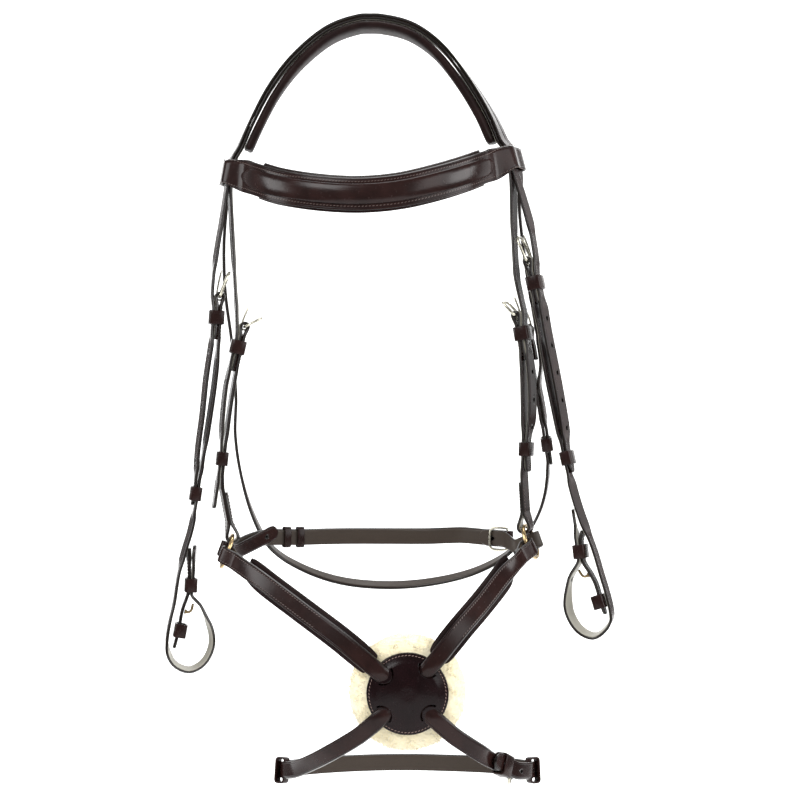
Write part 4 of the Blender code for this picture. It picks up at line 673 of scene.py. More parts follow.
def strap_mesh(strap, rounding, sag):
    """Points, faces, uv and values of a strap: a flat section with rubbed corners, swept along it.

    The section goes round from the left of the grain face. A corner point lies at the half width
    less the rounding, plus the rounding times the sine and cosine of its turn. The sides hang back by
    the sag times the square of their share of the half width.
    """
    middle, half, across, face = strap.frames()
    limit = strap.thick / 2
    rounding = min(rounding, limit * MOST_ROUND)
    inner = np.maximum(half - rounding, 0)
    beside = np.maximum(inner - SUPPORT, 0)
    columns = []
    for top in (1, -1):
        flat = (-beside, *(inner * share for share in FACE_SHARES), beside)
        columns += [(aside * top, limit * top, top) for aside in flat]
        for turn in CORNER_TURNS:
            aside = inner + np.minimum(half, rounding) * math.sin(turn)
            height = limit - rounding + rounding * math.cos(turn)
            columns.append((aside * top, height * top, top * math.cos(turn)))
    asides, heights, sides = zip(*columns)
    aside = np.stack(asides, axis=1)
    height = np.array(heights) - sag[:, None] * (aside / half[:, None]) ** 2
    points = middle[:, None] + across[:, None] * aside[..., None] + face[:, None] * height[..., None]
    uv = np.stack((np.broadcast_to(strap.lengths[:, None], aside.shape), aside), axis=-1)
    values = {"side": np.broadcast_to(sides, aside.shape).ravel(),
              "edge": (half[:, None] - np.abs(aside)).ravel()}
    return points.reshape(-1, 3), capped_faces(*aside.shape), uv.reshape(-1, 2), values


def add_prism(shape, first, second):
    """Add the closed wall between two outlines, with a face on each end."""
    ends = [[shape.verts.new(point) for point in outline] for outline in (first, second)]
    for index in range(len(first)):
        beyond = (index + 1) % len(first)
        shape.faces.new((ends[0][index], ends[0][beyond], ends[1][beyond], ends[1][index]))
    shape.faces.new(ends[0][::-1])
    shape.faces.new(ends[1])


def cut_rims(made, rims):
    """Punch the holes and slots of the frame's solid through its dressed strap.

    A slot's rim is closed to a block a little larger than it. A hole's two rims, each the nearest to
    the other, give a pin that reaches a little past both.
    """
    if not rims:
        return
    shape, used = bmesh.new(), set()
    for index, rim in enumerate(rims):
        low = rim.mean(axis=0)
        if len(rim) > HOLE_POINTS:
            verts = [shape.verts.new(point) for point in low + (rim - low) * SLOT_GROWTH]
            bmesh.ops.convex_hull(shape, input=verts)
            continue
        others = [other for other in range(len(rims))
                  if other != index and other not in used and len(rims[other]) <= HOLE_POINTS]
        if index in used or not others:
            continue
        twin = min(others, key=lambda other: np.linalg.norm(rims[other].mean(axis=0) - low))
        used |= {index, twin}
        high = rims[twin].mean(axis=0)
        if np.linalg.norm(high - low) > HOLE_DEPTH:
            continue
        axis = unit(high - low)
        first = unit(np.cross(axis, ODD_WAY))
        turns = circle(HOLE_SIDES)[:, None]
        ring = (np.cos(turns) * first + np.sin(turns) * np.cross(axis, first))
        ring = ring * np.linalg.norm(rim - low, axis=1).mean()
        add_prism(shape, low - axis * HOLE_PAST + ring, high + axis * HOLE_PAST + ring)
    bmesh.ops.delete(shape, geom=[vert for vert in shape.verts if not vert.link_faces], context="VERTS")
    bmesh.ops.recalc_face_normals(shape, faces=shape.faces)
    cut_away(made, object_of("cut", "cut", shape), use_self=True)


def cut_away(made, tool, use_self=False, bevel=None):
    """Take a tool's shape from a piece, round what the cut leaves, and put the tool away."""
    change = made.modifiers.new("cut", "BOOLEAN")
    change.operation, change.solver, change.object, change.use_self = "DIFFERENCE", "EXACT", tool, use_self
    if bevel:
        round_edges(made, *bevel)
    apply_modifiers(made)
    bpy.data.objects.remove(tool)


def round_edges(made, width, segments, angle):
    """Bevel the edges of a piece that are sharper than an angle."""
    change = made.modifiers.new("rounded", "BEVEL")
    change.width, change.segments, change.limit_method, change.angle_limit = width, segments, "ANGLE", angle


def apply_modifiers(made):
    """Put a piece's modifiers into its mesh."""
    bpy.context.view_layer.update()
    states = bpy.context.evaluated_depsgraph_get()
    mesh = bpy.data.meshes.new_from_object(made.evaluated_get(states), preserve_all_data_layers=True,
                                           depsgraph=states)
    old = made.data
    made.modifiers.clear()
    made.data = mesh
    bpy.data.meshes.remove(old)


LAID = {}


def lay_strap(name, strap, rims, nodes, kind):
    """Dress one strap of the frame, which sags where it goes into a slot of the disc."""
    fine = LAID[name] = strap.resampled().turned()
    sag = np.zeros(len(fine.centre))
    if name.startswith("cross_strap"):
        sag = SLOT_SAG * eased(np.clip(1 - nearest(fine.centre, DISC_SLOTS) / SAG_REACH, 0, 1))
    verts, faces, uv, values = strap_mesh(fine, settings().edge_round, sag)
    made = add_piece("strap_" + name, verts, faces, kind, BODY_OF[nodes[0]], uv, values)
    cut_rims(made, rims)
    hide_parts(*nodes)


def stitches(name, rows, body, kind="thread"):
    """Threads of a seam: small waxed lozenges, each laid a little askew along the row.

    Every thread is the same ring of six points at four distances, turned into its own run, aside
    and face directions.
    """
    place, run, face = (np.vstack(part) for part in zip(*rows))
    run = run * math.cos(THREAD_ASKEW) + np.cross(face, run) * math.sin(THREAD_ASKEW)
    aside = np.cross(face, run)
    turns = circle(THREAD_SIDES)
    size = THREAD_SIZE[:, None] * THREAD_RADIUS
    out = (np.cos(turns) * size).ravel()
    lift = (np.sin(turns) * size + THREAD_DIP[:, None] * THREAD_RADIUS).ravel()
    along = np.repeat(THREAD_ALONG * settings().stitch_pitch * THREAD_REACH, THREAD_SIDES)
    points = (place[:, None] + run[:, None] * along[:, None] + aside[:, None] * out[:, None]
              + face[:, None] * lift[:, None])
    starts = np.arange(len(place)) * len(along)
    walls = grid_faces(len(THREAD_ALONG), THREAD_SIDES, closed=True)
    every = (walls[None] + starts[:, None, None]).reshape(-1, 4).tolist()
    cap = np.arange(THREAD_SIDES)
    ends = np.stack((cap[::-1], cap + len(along) - THREAD_SIDES))
    every += (ends[None] + starts[:, None, None]).reshape(-1, THREAD_SIDES).tolist()
    return add_piece(name, points.reshape(-1, 3), every, kind, body)


def seam_rows(strap, spans):
    """Places and directions of stitches along both edges of both faces of stretches of a strap."""
    rows = []
    total = strap.lengths[-1]
    for start, stop in spans:
        start, stop = start % total if start < 0 else start, stop % total if stop < 0 else stop
        middle, half, across, face, run = strap.at(np.arange(start, stop, settings().stitch_pitch))
        for side in (1, -1):
            for edge in (-1, 1):
                aside = across * (edge * (half - settings().stitch_inset))[:, None]
                rows.append((middle + aside + face * (side * strap.thick / 2), run, face * side))
    return rows


def band_rows(strap, start, stop, offset):
    """Places and directions of stitches at an offset from the middle of a strap's grain face."""
    middle, _, across, face, run = strap.at(np.arange(start, stop, settings().stitch_pitch))
    return middle + across * offset + face * (strap.thick / 2), run, face


# Finishes

SLOT_OF = {"dull_brass": "brass",
           **dict.fromkeys(("thread", "light_thread", "roll", "band", "pale", "disc"), "leather")}


class Graph:
    """Short way to add shader nodes, with sockets or values as their inputs."""

    def __init__(self, tree):
        self.tree = tree

    def put(self, value, socket):
        """Link a socket to an input, or write a value into it."""
        if isinstance(value, bpy.types.NodeSocket):
            self.tree.links.new(value, socket)
        else:
            socket.default_value = value

    def add(self, kind, inputs=None, **traits):
        """A new node with the given traits and inputs."""
        made = self.tree.nodes.new(kind)
        for trait, value in traits.items():
            setattr(made, trait, value)
        for key, value in (inputs or {}).items():
            self.put(value, made.inputs[key])
        return made

    def sum(self, operation, a, b=0.5, c=0.5):
        """Result of a sum of numbers."""
        return self.add("ShaderNodeMath", {0: a, 1: b, 2: c}, operation=operation).outputs[0]

    def noise(self, scale, detail, roughness, place=None):
        """Noise on the object's own coordinates."""
        place = place or self.add("ShaderNodeTexCoord").outputs["Object"]
        return self.add("ShaderNodeTexNoise", {"Vector": place, "Scale": scale, "Detail": detail,
                                               "Roughness": roughness}).outputs["Fac"]

    def range(self, value, low, high, start=0.0, stop=1.0):
        """Value carried from one range to another, smoothly, and held at its ends."""
        return self.add("ShaderNodeMapRange", {"Value": value, "From Min": low, "From Max": high,
                                               "To Min": start, "To Max": stop},
                        interpolation_type="SMOOTHSTEP").outputs["Result"]

    def mix(self, share, a, b):
        """Colour between two colours."""
        made = self.add("ShaderNodeMix", {"Factor": share}, data_type="RGBA")
        self.put(a, made.inputs[6])
        self.put(b, made.inputs[7])
        return made.outputs[2]

    def attribute(self, name):
        """Number that a mesh keeps for each of its points."""
        return self.add("ShaderNodeAttribute", attribute_name=name).outputs["Fac"]

    def grain(self, scale):
        """Outputs of the leather grain at a scale."""
        return self.add("ShaderNodeGroup", {"Scale": scale}, node_tree=grain_group()).outputs


def grain_group():
    """Grain of leather: fine creased cells, soft mottling and rub marks, as height and masks."""
    found = bpy.data.node_groups.get("leather grain")
    if found:
        return found
    tree = bpy.data.node_groups.new("leather grain", "ShaderNodeTree")
    for label, way in (("Scale", "INPUT"), ("Height", "OUTPUT"), ("Mottle", "OUTPUT"), ("Rub", "OUTPUT")):
        tree.interface.new_socket(label, in_out=way, socket_type="NodeSocketFloat")
    graph = Graph(tree)
    given = graph.add("NodeGroupInput").outputs["Scale"]
    place = graph.add("ShaderNodeTexCoord").outputs["Object"]
    cells, pores, folds = (graph.sum("MULTIPLY", given, scale) for scale in (CELL_SCALE, PORES[0], FOLDS[0]))
    cells = graph.add("ShaderNodeTexVoronoi", {"Vector": place, "Scale": cells}, feature="SMOOTH_F1")
    creases = graph.range(cells.outputs["Distance"], *CELL_CREASE)
    pores, folds = graph.noise(pores, *PORES[1:], place), graph.noise(folds, *FOLDS[1:], place)
    height = graph.sum("MULTIPLY_ADD", pores, PORE_LIFT, graph.sum("MULTIPLY", folds, FOLD_LIFT))
    height = graph.sum("MULTIPLY_ADD", creases, CREASE_LIFT, height)
    mottle = graph.range(graph.noise(*MOTTLE, place), *MOTTLE_RANGE)
    rub = graph.range(graph.noise(*RUB, place), *RUB_RANGE)
    out = graph.add("NodeGroupOutput")
    for label, value in (("Height", height), ("Mottle", mottle), ("Rub", rub)):
        tree.links.new(value, out.inputs[label])
    return tree


def start_material(name):
    """New material with its graph."""
    made = bpy.data.materials.new(name)
    made.use_nodes = True
    return made, Graph(made.node_tree)


def surfaced(made, graph, height=None, bump=None, **values):
    """The material with its shader's inputs set, named by their words joined by underscores."""
    shader = made.node_tree.nodes["Principled BSDF"]
    if height:
        dent = graph.add("ShaderNodeBump", {"Height": height, "Strength": bump[0], "Distance": bump[1]})
        graph.put(dent.outputs["Normal"], shader.inputs["Normal"])
    for label, value in values.items():
        graph.put(value, shader.inputs[label.replace("_", " ")])
    return made


def shaded(colour, share):
    """A colour made darker or lighter by a share."""
    return (colour[0] * share, colour[1] * share, colour[2] * share, 1)


def leather_finish(name, inner):
    """Bridle leather: polished grain, duller flesh side, painted edge and a creased line beside it."""
    made, graph = start_material(name)
    top = settings().grain_colour
    grain = graph.grain(GRAIN_SCALE)
    side = graph.attribute("side")
    flesh = graph.range(side, *FLESH_SIDE)
    rim = graph.range(graph.sum("ABSOLUTE", side), *RIM_SIDE)
    beside = graph.sum("ABSOLUTE", graph.sum("SUBTRACT", graph.attribute("edge"), CREASE_INSET))
    crease = graph.sum("MULTIPLY", graph.range(beside, *CREASE_WIDTH), graph.range(side, *GRAIN_SIDE))
    warm = graph.mix(grain["Mottle"], top, shaded(top, MOTTLE_LIGHT))
    # Flesh side's colour, flecked; in the pale finish this colour is a painted reflection, far lighter than
    # the leather itself
    pale = graph.mix(graph.noise(*FLESH_FLECKS), shaded(inner, FLESH_DARK), inner)
    mixed = graph.mix(rim, graph.mix(flesh, warm, pale), settings().edge_colour)
    mixed = graph.mix(graph.sum("MULTIPLY", crease, CREASE_SHARE), mixed, shaded(top, CREASE_DARK))
    rough = graph.sum("MULTIPLY_ADD", flesh, FLESH_ROUGH, graph.range(grain["Rub"], 0, 1, *LEATHER_ROUGH))
    rough = graph.sum("MULTIPLY_ADD", rim, EDGE_ROUGH, rough)
    return surfaced(made, graph, graph.sum("MULTIPLY_ADD", crease, CREASE_DEPTH, grain["Height"]),
                    LEATHER_BUMP, Base_Color=mixed, Roughness=rough,
                    Coat_Weight=graph.sum("MULTIPLY", rim, EDGE_COAT), Coat_Roughness=COAT_ROUGH,
                    Specular_IOR_Level=LEATHER_GLOSS)


def soft_leather_finish(name, colour, roughness, gloss):
    """Leather without a flesh side: pads, linings, bands and keepers."""
    made, graph = start_material(name)
    grain = graph.grain(SOFT_GRAIN_SCALE)
    return surfaced(made, graph, grain["Height"], SOFT_BUMP,
                    Base_Color=graph.mix(grain["Mottle"], colour, shaded(colour, MOTTLE_LIGHT)),
                    Roughness=graph.range(grain["Rub"], 0, 1, roughness, roughness + SOFT_ROUGH),
                    Specular_IOR_Level=gloss)


def metal_finish(name, colour, roughness):
    """Plated or cast metal: a little uneven, with fine handling marks."""
    made, graph = start_material(name)
    marks = graph.range(graph.noise(*METAL_MARKS), *MARK_RANGE)
    rough = graph.range(graph.noise(*METAL_CLOUDS), *CLOUD_RANGE, roughness, roughness + METAL_ROUGH)
    return surfaced(made, graph, graph.noise(*METAL_DENTS), METAL_BUMP, Metallic=1.0, Roughness=rough,
                    Base_Color=graph.mix(marks, colour, shaded(colour, MARK_DARK)))


def thread_finish(name, colour):
    """Waxed linen thread with its plied twist."""
    made, graph = start_material(name)
    strand = graph.noise(*THREAD_STRANDS)
    return surfaced(made, graph, strand, THREAD_BUMP, Roughness=THREAD_ROUGH,
                    Base_Color=graph.mix(strand, shaded(colour, THREAD_DARK), colour))


def fleece_finish(name, colour):
    """Sheepskin: cream locks that darken and yellow towards the skin."""
    made, graph = start_material(name)
    root = (*(part * share for part, share in zip(colour, WOOL_ROOT)), 1)
    mixed = graph.mix(graph.range(graph.attribute("lock"), *WOOL_DEPTH), root, colour)
    mixed = graph.mix(graph.range(graph.noise(*WOOL_PATCHES), *PATCH_RANGE), mixed, PATCH_COLOUR)
    return surfaced(made, graph, graph.noise(*WOOL_CURLS), WOOL_BUMP, Base_Color=mixed,
                    Roughness=WOOL_ROUGH, Sheen_Weight=WOOL_SHEEN, Sheen_Roughness=SHEEN_ROUGH)


# Each finish: its maker, its colour in the settings, the share of that colour, and for leather its
# roughness and gloss, for metal its roughness
FINISHES = {
    "leather": (leather_finish, "flesh_colour", 1),
    # The pale finish is the leather with its flesh side lightened: a painted reflection that stands for the
    # glare of light on the cheek straps and bit loops
    "pale": (leather_finish, "pale_colour", 1),
    "band": (soft_leather_finish, "grain_colour", 1, 0.24, 0.16),
    "disc": (soft_leather_finish, "disc_colour", 1, 0.22, 0.14),
    "roll": (soft_leather_finish, "grain_colour", 1, 0.2, 0.2),
    "lining_leather": (soft_leather_finish, "lining_colour", 1, 0.46, 0.06),
    "steel": (metal_finish, "steel_colour", 1, 0.2),
    "brass": (metal_finish, "brass_colour", 1, 0.2),
    "dull_brass": (metal_finish, "brass_colour", 0.45, 0.32),
    "thread": (thread_finish, "thread_colour", 1),
    "light_thread": (thread_finish, "thread_colour", 2.6),
    "fleece": (fleece_finish, "fleece_colour", 1),
}


def finish(kind):
    """Material of a finish, made once."""
    name = "bridle " + kind
    maker, label, share, *more = FINISHES[kind]
    return bpy.data.materials.get(name) or maker(name, shaded(getattr(settings(), label), share), *more)


# Pieces

class BRIDLE_OT_straps(bpy.types.Operator):
    """Lay the headpiece and every other strap along the frame"""

    bl_idname = "bridle.straps"
    bl_label = "Straps"

    def execute(self, context):
        for node, start, thick, seams in STRAPS:
            strap, rims = read_strap(node, start, thick)
            # The sliphead, cheekpieces and noseband cheeks take the pale finish, whose flesh side is a
            # painted reflection
            lay_strap(node, strap, rims, (node,), "pale" if node.startswith(PAINTED_GLARE_STRAPS) else "leather")
            if seams:
                stitches("stitching_" + node, seam_rows(LAID[node], seams), BODY_OF[node])
        (front, back), rims = read_headpiece()
        for name, strap in (("headpiece_front", front), ("headpiece_back", back)):
            near = [rim for rim in rims if nearest(rim.mean(axis=0)[None], strap.centre)[0] < RIM_REACH]
            lay_strap(name, strap, near, ("headpiece",), "leather")
        return {"FINISHED"}


class BRIDLE_OT_seams(bpy.types.Operator):
    """Sew the browband"""

    bl_idname = "bridle.seams"
    bl_label = "Seams"

    def execute(self, context):
        band = LAID["browband"]
        stop = band.lengths[-1] - BAND_SEAM_START
        rows = [band_rows(band, BAND_SEAM_START, stop, sign * ROLL_SEAM) for sign in (-1, 1)]
        stitches("stitching_browband", rows, BODY_OF["browband"])
        return {"FINISHED"}


def softened(node, kind, rounding=0.0, levels=0, name=None):
    """Copy of a node's solid with its doubles merged and its edges rounded or its faces smoothed."""
    shape = welded(node)
    bmesh.ops.join_triangles(shape, faces=shape.faces, angle_face_threshold=JOIN_ANGLES[0],
                             angle_shape_threshold=JOIN_ANGLES[1])
    made = object_of(name or "fitting_" + node, node, shape)
    if rounding:
        round_edges(made, rounding, *FITTING_BEVEL)
    if levels:
        change = made.modifiers.new("smoothed", "SUBSURF")
        change.levels = change.render_levels = levels
    apply_modifiers(made)
    smooth(made.data)
    dress(made, kind, BODY_OF[node])
    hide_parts(node)
    return made


def turn_upright(made, turn):
    """Turn a piece's mesh about the upright line through its middle."""
    points = np.empty(len(made.data.vertices) * 3)
    made.data.vertices.foreach_get("co", points)
    points = points.reshape(-1, 3)
    middle = (points.min(axis=0) + points.max(axis=0)) / 2
    x, y = (points - middle)[:, :2].T
    points[:, 0] = middle[0] + x * math.cos(turn) - y * math.sin(turn)
    points[:, 1] = middle[1] + x * math.sin(turn) + y * math.cos(turn)
    made.data.vertices.foreach_set("co", points.ravel())
    made.data.update()


class BRIDLE_OT_keepers(bpy.types.Operator):
    """Round the edges of the fixed keepers and the runners"""

    bl_idname = "bridle.keepers"
    bl_label = "Keepers"

    def execute(self, context):
        for node in frame["nodes"]:
            if "keeper" in node or "runner" in node:
                made = softened(node, "band", rounding=KEEPER_ROUND)
                if node.startswith("chin_runner"):
                    turn_upright(made, RUNNER_TURN if node.endswith("left") else -RUNNER_TURN)
        return {"FINISHED"}


class BRIDLE_OT_fittings(bpy.types.Operator):
    """Smooth the buckles, tongues, rings and hook studs"""

    bl_idname = "bridle.fittings"
    bl_label = "Fittings"

    def execute(self, context):
        for node in frame["nodes"]:
            for word, kind in FITTINGS:
                if node.startswith(word):
                    softened(node, kind, levels=SMOOTHINGS)
        return {"FINISHED"}


def roll_mesh(band, start, stop):
    """Padded roll on a band: half an oval on the band's face, narrowing to a rounded tip at each end.

    Its half width is the roll's times the square root of one less the square of the share of the tip
    still to go, and its height falls in the same way.
    """
    steps = np.sin(np.linspace(-math.pi / 2, math.pi / 2, ROLL_ROWS)) * 0.5 + 0.5
    distances = start + (stop - start) * steps
    middle, _, across, face, _ = band.at(distances)
    left = np.minimum(distances - start, stop - distances)
    tip = np.sqrt(np.maximum(1 - (1 - np.clip(left / ROLL_TIP, 0, 1)) ** 2, ROLL_LEAST))[:, None]
    turns = np.linspace(0, math.pi, ROLL_TURNS)
    aside = np.concatenate((np.cos(turns), np.linspace(-ROLL_FLAT, ROLL_FLAT, ROLL_BASE)))
    lift = np.concatenate((np.sin(turns) ** ROLL_POWER, np.full(ROLL_BASE, ROLL_UNDER)))
    points = (middle[:, None] + across[:, None] * (ROLL_HALF * tip * aside)[..., None]
              + face[:, None] * (ROLL_HEIGHT * tip * lift + band.thick / 2)[..., None])
    return points.reshape(-1, 3), capped_faces(len(distances), len(aside))


class BRIDLE_OT_pads(bpy.types.Operator):
    """Round the pads"""

    bl_idname = "bridle.pads"
    bl_label = "Pads"

    def execute(self, context):
        for node in PADS:
            softened(node, "lining_leather", levels=SMOOTHINGS, name="pad_" + node)
        band = LAID["browband"]
        low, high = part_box("browband_roll")
        middle, _, _, face = band.frames()
        front = face[:, 1] < ROLL_FRONT
        order = np.argsort(middle[front, 0])
        ends = np.interp((low[0] - ROLL_REACH[0], high[0] + ROLL_REACH[1]), middle[front, 0][order],
                         band.lengths[front][order])
        verts, faces = roll_mesh(band, min(ends), max(ends))
        made = add_piece("roll_browband", verts, faces, "roll", BODY_OF["browband_roll"])
        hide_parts("browband_roll")
        return {"FINISHED"}


def disc_mesh():
    """Domed disc: the front and back of the frame's disc, turned round its axis.

    The front's depth at each radius is read from the solid's own front points, and the rim is rounded
    by a quarter circle on each side.
    """
    shape = welded("nose_disc")
    points = np.array([vert.co for vert in shape.verts])
    fronts = np.array([vert.normal[1] < DISC_FRONT for vert in shape.verts])
    shape.free()
    _, high, centre, radius = round_box("nose_disc")
    spread = np.hypot(points[:, 0] - centre[0], points[:, 2] - centre[2])
    flat = radius - RIM_ROUND
    depth = []
    for share in DISC_SHARES:
        near = fronts & (np.abs(spread - share * flat) < radius * DISC_BAND)
        depth.append(points[near, 1].min() if near.any() else np.nan)
    depth = np.array(depth)
    known = ~np.isnan(depth)
    depth = np.interp(DISC_SHARES, DISC_SHARES[known], depth[known])
    depth = np.convolve(np.pad(depth, 2, mode="edge"), np.ones(5) / 5, mode="valid")
    turns = np.linspace(0, math.pi / 2, RIM_POINTS)[1:]
    radii = np.concatenate((DISC_SHARES * flat, flat + RIM_ROUND * np.sin(turns), flat + RIM_ROUND * BACK_RIM,
                            flat * BACK_SHARES))
    depths = np.concatenate((depth, depth[-1] + RIM_ROUND - RIM_ROUND * np.cos(turns),
                             high[1] - RIM_ROUND * BACK_DROPS))
    radii, depths = (part[:, None] + np.zeros(DISC_SIDES) for part in (radii, depths))
    rows = spun(radii, depths, circle(DISC_SIDES)) + centre * (1, 0, 1)
    return rows.reshape(-1, 3), capped_faces(*radii.shape), centre


def slot_cutter(centre):
    """Curved walls that cut the disc's slots: arcs bowed towards the disc's middle.

    A wall's two sides are arcs about a point outward of the slot, from one depth to the other.
    """
    shape = bmesh.new()
    turns = np.linspace(-SLOT_TURN, SLOT_TURN, SLOT_POINTS)[:, None]
    for spot in DISC_SLOTS:
        inward = unit((centre - spot) * np.array((1, 0, 1)))
        beside = np.array((-inward[2], 0, inward[0]))
        hub = spot - inward * (SLOT_BOW - SLOT_SHIFT)
        near, far = (hub + (np.cos(turns) * inward + np.sin(turns) * beside) * radius
                     for radius in (SLOT_BOW - SLOT_GAP / 2, SLOT_BOW + SLOT_GAP / 2))
        outline = np.vstack((near, far[::-1]))
        add_prism(shape, outline - (0, SLOT_DEPTH, 0), outline + (0, SLOT_DEPTH, 0))
    bmesh.ops.recalc_face_normals(shape, faces=shape.faces)
    return object_of("slots", "slots", shape)


def disc_rows(made):
    """Places and directions of the stitches round the disc's rim, found on its dome from the front."""
    _, _, centre, radius = round_box("nose_disc")
    radius *= DISC_SEAM_SHARE
    shape = bmesh.new()
    shape.from_mesh(made.data)
    tree = BVHTree.FromBMesh(shape)
    shape.free()
    rows = []
    for turn in np.arange(0, math.tau, settings().stitch_pitch / radius):
        spoke = np.array((math.cos(turn), 0, math.sin(turn)))
        place, face, _, _ = tree.ray_cast(Vector(centre + spoke * radius + RAY_START), Vector((0, 1, 0)))
        rows.append((place, (-math.sin(turn), 0, math.cos(turn)), face))
    return [np.array(part) for part in zip(*rows)]


class BRIDLE_OT_disc(bpy.types.Operator):
    """Dome the nose disc, cut its slots, sew its rim and round its lining"""

    bl_idname = "bridle.disc"
    bl_label = "Nose disc"

    def execute(self, context):
        verts, faces, centre = disc_mesh()
        made = add_piece("disc_nose", verts, faces, "disc", BODY_OF["nose_disc"])
        cut_away(made, slot_cutter(centre), bevel=DISC_BEVEL)
        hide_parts("nose_disc")
        stitches("stitching_disc", [disc_rows(made)], BODY_OF["nose_disc"], "light_thread")
        softened("disc_lining", "lining_leather", rounding=LINING_ROUND)
        return {"FINISHED"}


def pillow(slope, body, bulge):
    """Radius and depth of the sheepskin's cushion at a slope between its two faces.

    The radius is the body times the cosine of the slope to a low power, and the depth is the bulge
    times its sine.
    """
    return body * np.abs(np.cos(slope)) ** PILLOW_POWER, bulge * np.sin(slope)


def tuft_waves(points, scale):
    """Three waves of a place, one from each way that the tufts lie."""
    return [np.sin(points @ np.array(way) * scale + phase) for way, phase in TUFT_WAVES]


def fleece_skin(centre, body, bulge):
    """Cushion that the locks grow from: the pillow's outline turned round the disc's axis.

    It is uneven by the products of two waves of its place, as wool that lies in curls.
    """
    slope = np.linspace(-SKIN_SLOPE, SKIN_SLOPE, SKIN_GRID[0])[:, None] + np.zeros(SKIN_GRID[1])
    turn = circle(SKIN_GRID[1])
    points = spun(*pillow(slope, body, bulge), turn)
    waves = tuft_waves(centre + points, SKIN_WAVE)
    lumps = waves[0] * waves[1] + waves[1] * waves[2] + waves[2] * waves[0]
    away = spun(np.cos(slope), np.sin(slope), turn)
    points = points + away * (SKIN_LIFT + lumps * SKIN_LUMP)[..., None]
    return (centre + points).reshape(-1, 3), capped_faces(*SKIN_GRID)


def fleece_locks(centre, body, bulge):
    """Tapered locks on the cushion, leaning together in tufts, with the share along each lock.

    A lock's middle line leaves the cushion along its normal, bent by a smooth wave of its place and
    a little chance, and curls aside by the sine of its length.
    """
    rng = np.random.default_rng(LOCK_SEED)
    count = settings().fleece_locks
    turn = rng.uniform(0, math.tau, count)
    beside = rng.uniform(0, 1, count) < LOCK_SIDE
    rim_slope = rng.uniform(-LOCK_SIDE_SLOPE, LOCK_SIDE_SLOPE, count)
    sign = rng.choice((-1, 1), count)
    face_slope = sign * (SKIN_SLOPE - LOCK_FACE_SLOPE * np.sqrt(rng.uniform(0, 1, count)))
    slope = np.where(beside, rim_slope, face_slope)
    root = centre + spun(*pillow(slope, body, bulge), turn)
    grow = unit(spun(np.cos(slope), np.sin(slope), turn))
    wave = np.stack(tuft_waves(root, LOCK_WAVE), axis=1)
    grow = unit(grow + wave * LOCK_LEAN + rng.normal(0, LOCK_CHANCE, (count, 3)))
    sway = unit(np.cross(grow, rng.normal(0, 1, (count, 3))))
    long = LOCK_LENGTH * (1 + LOCK_UNEVEN * wave[:, 0] * wave[:, 1]) * rng.uniform(*LOCK_LENGTHS, count)
    thick = rng.uniform(*LOCK_RADII, count)
    curl = np.sin(LOCK_STEPS * CURL_TURN + rng.uniform(0, CURL_START, count)[:, None]) * CURL_SIZE
    line = (root[:, None] + grow[:, None] * (LOCK_STEPS * long[:, None])[..., None]
            + sway[:, None] * (curl * long[:, None])[..., None])
    turns = circle(3)[:, None]
    ring = np.cos(turns) * sway[:, None] + np.sin(turns) * np.cross(grow, sway)[:, None]
    points = line[:, :, None] + ring[:, None] * (LOCK_SIZES * thick[:, None])[:, :, None, None]
    sides = grid_faces(3, 3, closed=True)
    tris = np.vstack((sides[:, :3], sides[:, (0, 2, 3)], ((2, 1, 0), (6, 7, 8))))
    every = (tris[None] + np.arange(count)[:, None, None] * 9).reshape(-1, 3)
    share = np.broadcast_to(LOCK_STEPS[None, :, None], (count, 3, 3)).ravel()
    return points.reshape(-1, 3), every, share


class BRIDLE_OT_fleece(bpy.types.Operator):
    """Grow the sheepskin behind the disc"""

    bl_idname = "bridle.fleece"
    bl_label = "Fleece"

    def execute(self, context):
        low, high, centre, radius = round_box("fleece_pad")
        body, bulge = radius - LOCK_LENGTH, (high[1] - low[1]) / 2 - LOCK_LENGTH / 2
        skin, skin_faces = fleece_skin(centre, body, bulge)
        locks, lock_faces, share = fleece_locks(centre, body, bulge)
        values = {"lock": np.concatenate((np.full(len(skin), SKIN_SHARE), share))}
        faces = skin_faces + (lock_faces + len(skin)).tolist()
        made = add_piece("fleece_sheepskin", np.vstack((skin, locks)), faces, "fleece",
                         BODY_OF["fleece_pad"], values=values)
        made.data.polygons.foreach_set("use_smooth", np.arange(len(faces)) < len(skin_faces))
        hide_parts("fleece_pad")
        return {"FINISHED"}


def white_paper():
    """Paper that shows white in pictures and mirrors, keeps its shadows, and is clear from behind."""
    made, graph = start_material("white paper")
    rays = graph.add("ShaderNodeLightPath").outputs
    seen = graph.sum("MAXIMUM", rays["Is Camera Ray"], rays["Is Glossy Ray"])
    seen = graph.sum("MAXIMUM", seen, rays["Is Transmission Ray"])
    surfaced(made, graph, Base_Color=PAPER_COLOUR, Roughness=PAPER_ROUGH, Emission_Color=WHITE,
             Emission_Strength=graph.sum("MULTIPLY", seen, PAPER_GLOW))
    nodes = made.node_tree.nodes
    behind = graph.add("ShaderNodeNewGeometry").outputs["Backfacing"]
    front = nodes["Principled BSDF"].outputs["BSDF"]
    clear = graph.add("ShaderNodeBsdfTransparent").outputs["BSDF"]
    paper = graph.add("ShaderNodeMixShader", {0: behind, 1: front, 2: clear})
    graph.put(paper.outputs[0], nodes["Material Output"].inputs["Surface"])
    return made


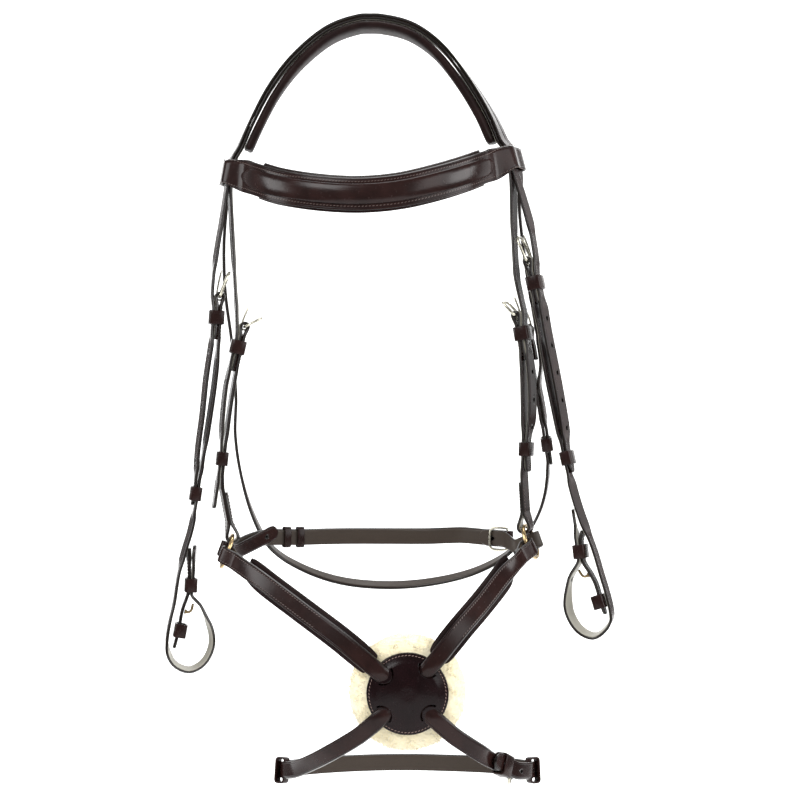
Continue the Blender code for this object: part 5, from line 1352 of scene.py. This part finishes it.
def add_sheet():
    """Floor and backdrop: one sheet whose line runs back, bends up by a quarter circle and rises."""
    turns = np.linspace(-math.pi / 2, 0, BEND_POINTS)
    bend_y = SHEET_BACK - SHEET_BEND + SHEET_BEND * np.cos(turns)
    bend_z = SHEET_FLOOR + SHEET_BEND + SHEET_BEND * np.sin(turns)
    line = ((SHEET_FRONT, SHEET_FLOOR), *zip(bend_y, bend_z), (SHEET_BACK, SHEET_TOP))
    verts = [(side, y, z) for y, z in line for side in SHEET_SIDES]
    mesh = bpy.data.meshes.new("backdrop")
    mesh.from_pydata(verts, [], grid_faces(len(line), 2).tolist())
    smooth(mesh)
    mesh.materials.append(white_paper())
    new_object("backdrop", mesh)


def light_world():
    """World that is white to the camera and dimmer as a light."""
    world = bpy.context.scene.world = bpy.data.worlds.new("studio")
    world.use_nodes = True
    background = world.node_tree.nodes["Background"]
    background.inputs["Color"].default_value = WHITE
    graph = Graph(world.node_tree)
    seen = graph.add("ShaderNodeLightPath").outputs["Is Camera Ray"]
    graph.put(graph.sum("MULTIPLY_ADD", seen, 1 - WORLD_LIGHT, WORLD_LIGHT), background.inputs["Strength"])


class BRIDLE_OT_stage(bpy.types.Operator):
    """Set the floor with its backdrop, the lamps and the camera"""

    bl_idname = "bridle.stage"
    bl_label = "Stage"

    def execute(self, context):
        add_sheet()
        light_world()
        for name, place, size, power in LAMPS:
            lamp = bpy.data.lights.new(name, "AREA")
            lamp.size, lamp.energy = size, power
            made = new_object(name, lamp)
            made.location = place
            made.rotation_euler = (Vector(TARGET) - Vector(place)).to_track_quat("-Z", "Y").to_euler()
        view = bpy.data.cameras.new("camera")
        view.sensor_width = SENSOR
        view.lens = SENSOR * VIEW_DISTANCE / VIEW_SPAN
        camera = new_object("camera", view)
        camera.location = (VIEW_CENTRE[0], -VIEW_DISTANCE, VIEW_CENTRE[1])
        camera.rotation_euler = (math.pi / 2, 0, 0)
        context.scene.camera = camera
        context.scene.view_settings.view_transform = "Standard"
        return {"FINISHED"}


class BRIDLE_PT_panel(bpy.types.Panel):
    """Steps that dress the bridle."""

    bl_idname = "BRIDLE_PT_panel"
    bl_label = "Figure eight bridle"
    bl_space_type = "VIEW_3D"
    bl_region_type = "UI"
    bl_category = "Bridle"

    def draw(self, context):
        for step in STEPS:
            self.layout.operator(step.bl_idname)
        for label in BridleSettings.__annotations__:
            self.layout.prop(context.scene.bridle, label)


STEPS = (BRIDLE_OT_straps, BRIDLE_OT_seams, BRIDLE_OT_keepers, BRIDLE_OT_fittings, BRIDLE_OT_pads,
         BRIDLE_OT_disc, BRIDLE_OT_fleece, BRIDLE_OT_stage)


def register():
    """Register the settings, the steps and the panel."""
    for each in (BridleSettings, *STEPS, BRIDLE_PT_panel):
        bpy.utils.register_class(each)
    bpy.types.Scene.bridle = PointerProperty(type=BridleSettings)


def unregister():
    """Take back what register added."""
    del bpy.types.Scene.bridle
    for each in (BRIDLE_PT_panel, *reversed(STEPS), BridleSettings):
        bpy.utils.unregister_class(each)


def main():
    """Dress the bridle step by step."""
    register()
    for step in STEPS:
        area, name = step.bl_idname.split(".")
        getattr(getattr(bpy.ops, area), name)()


if __name__ == "__main__":
    main()
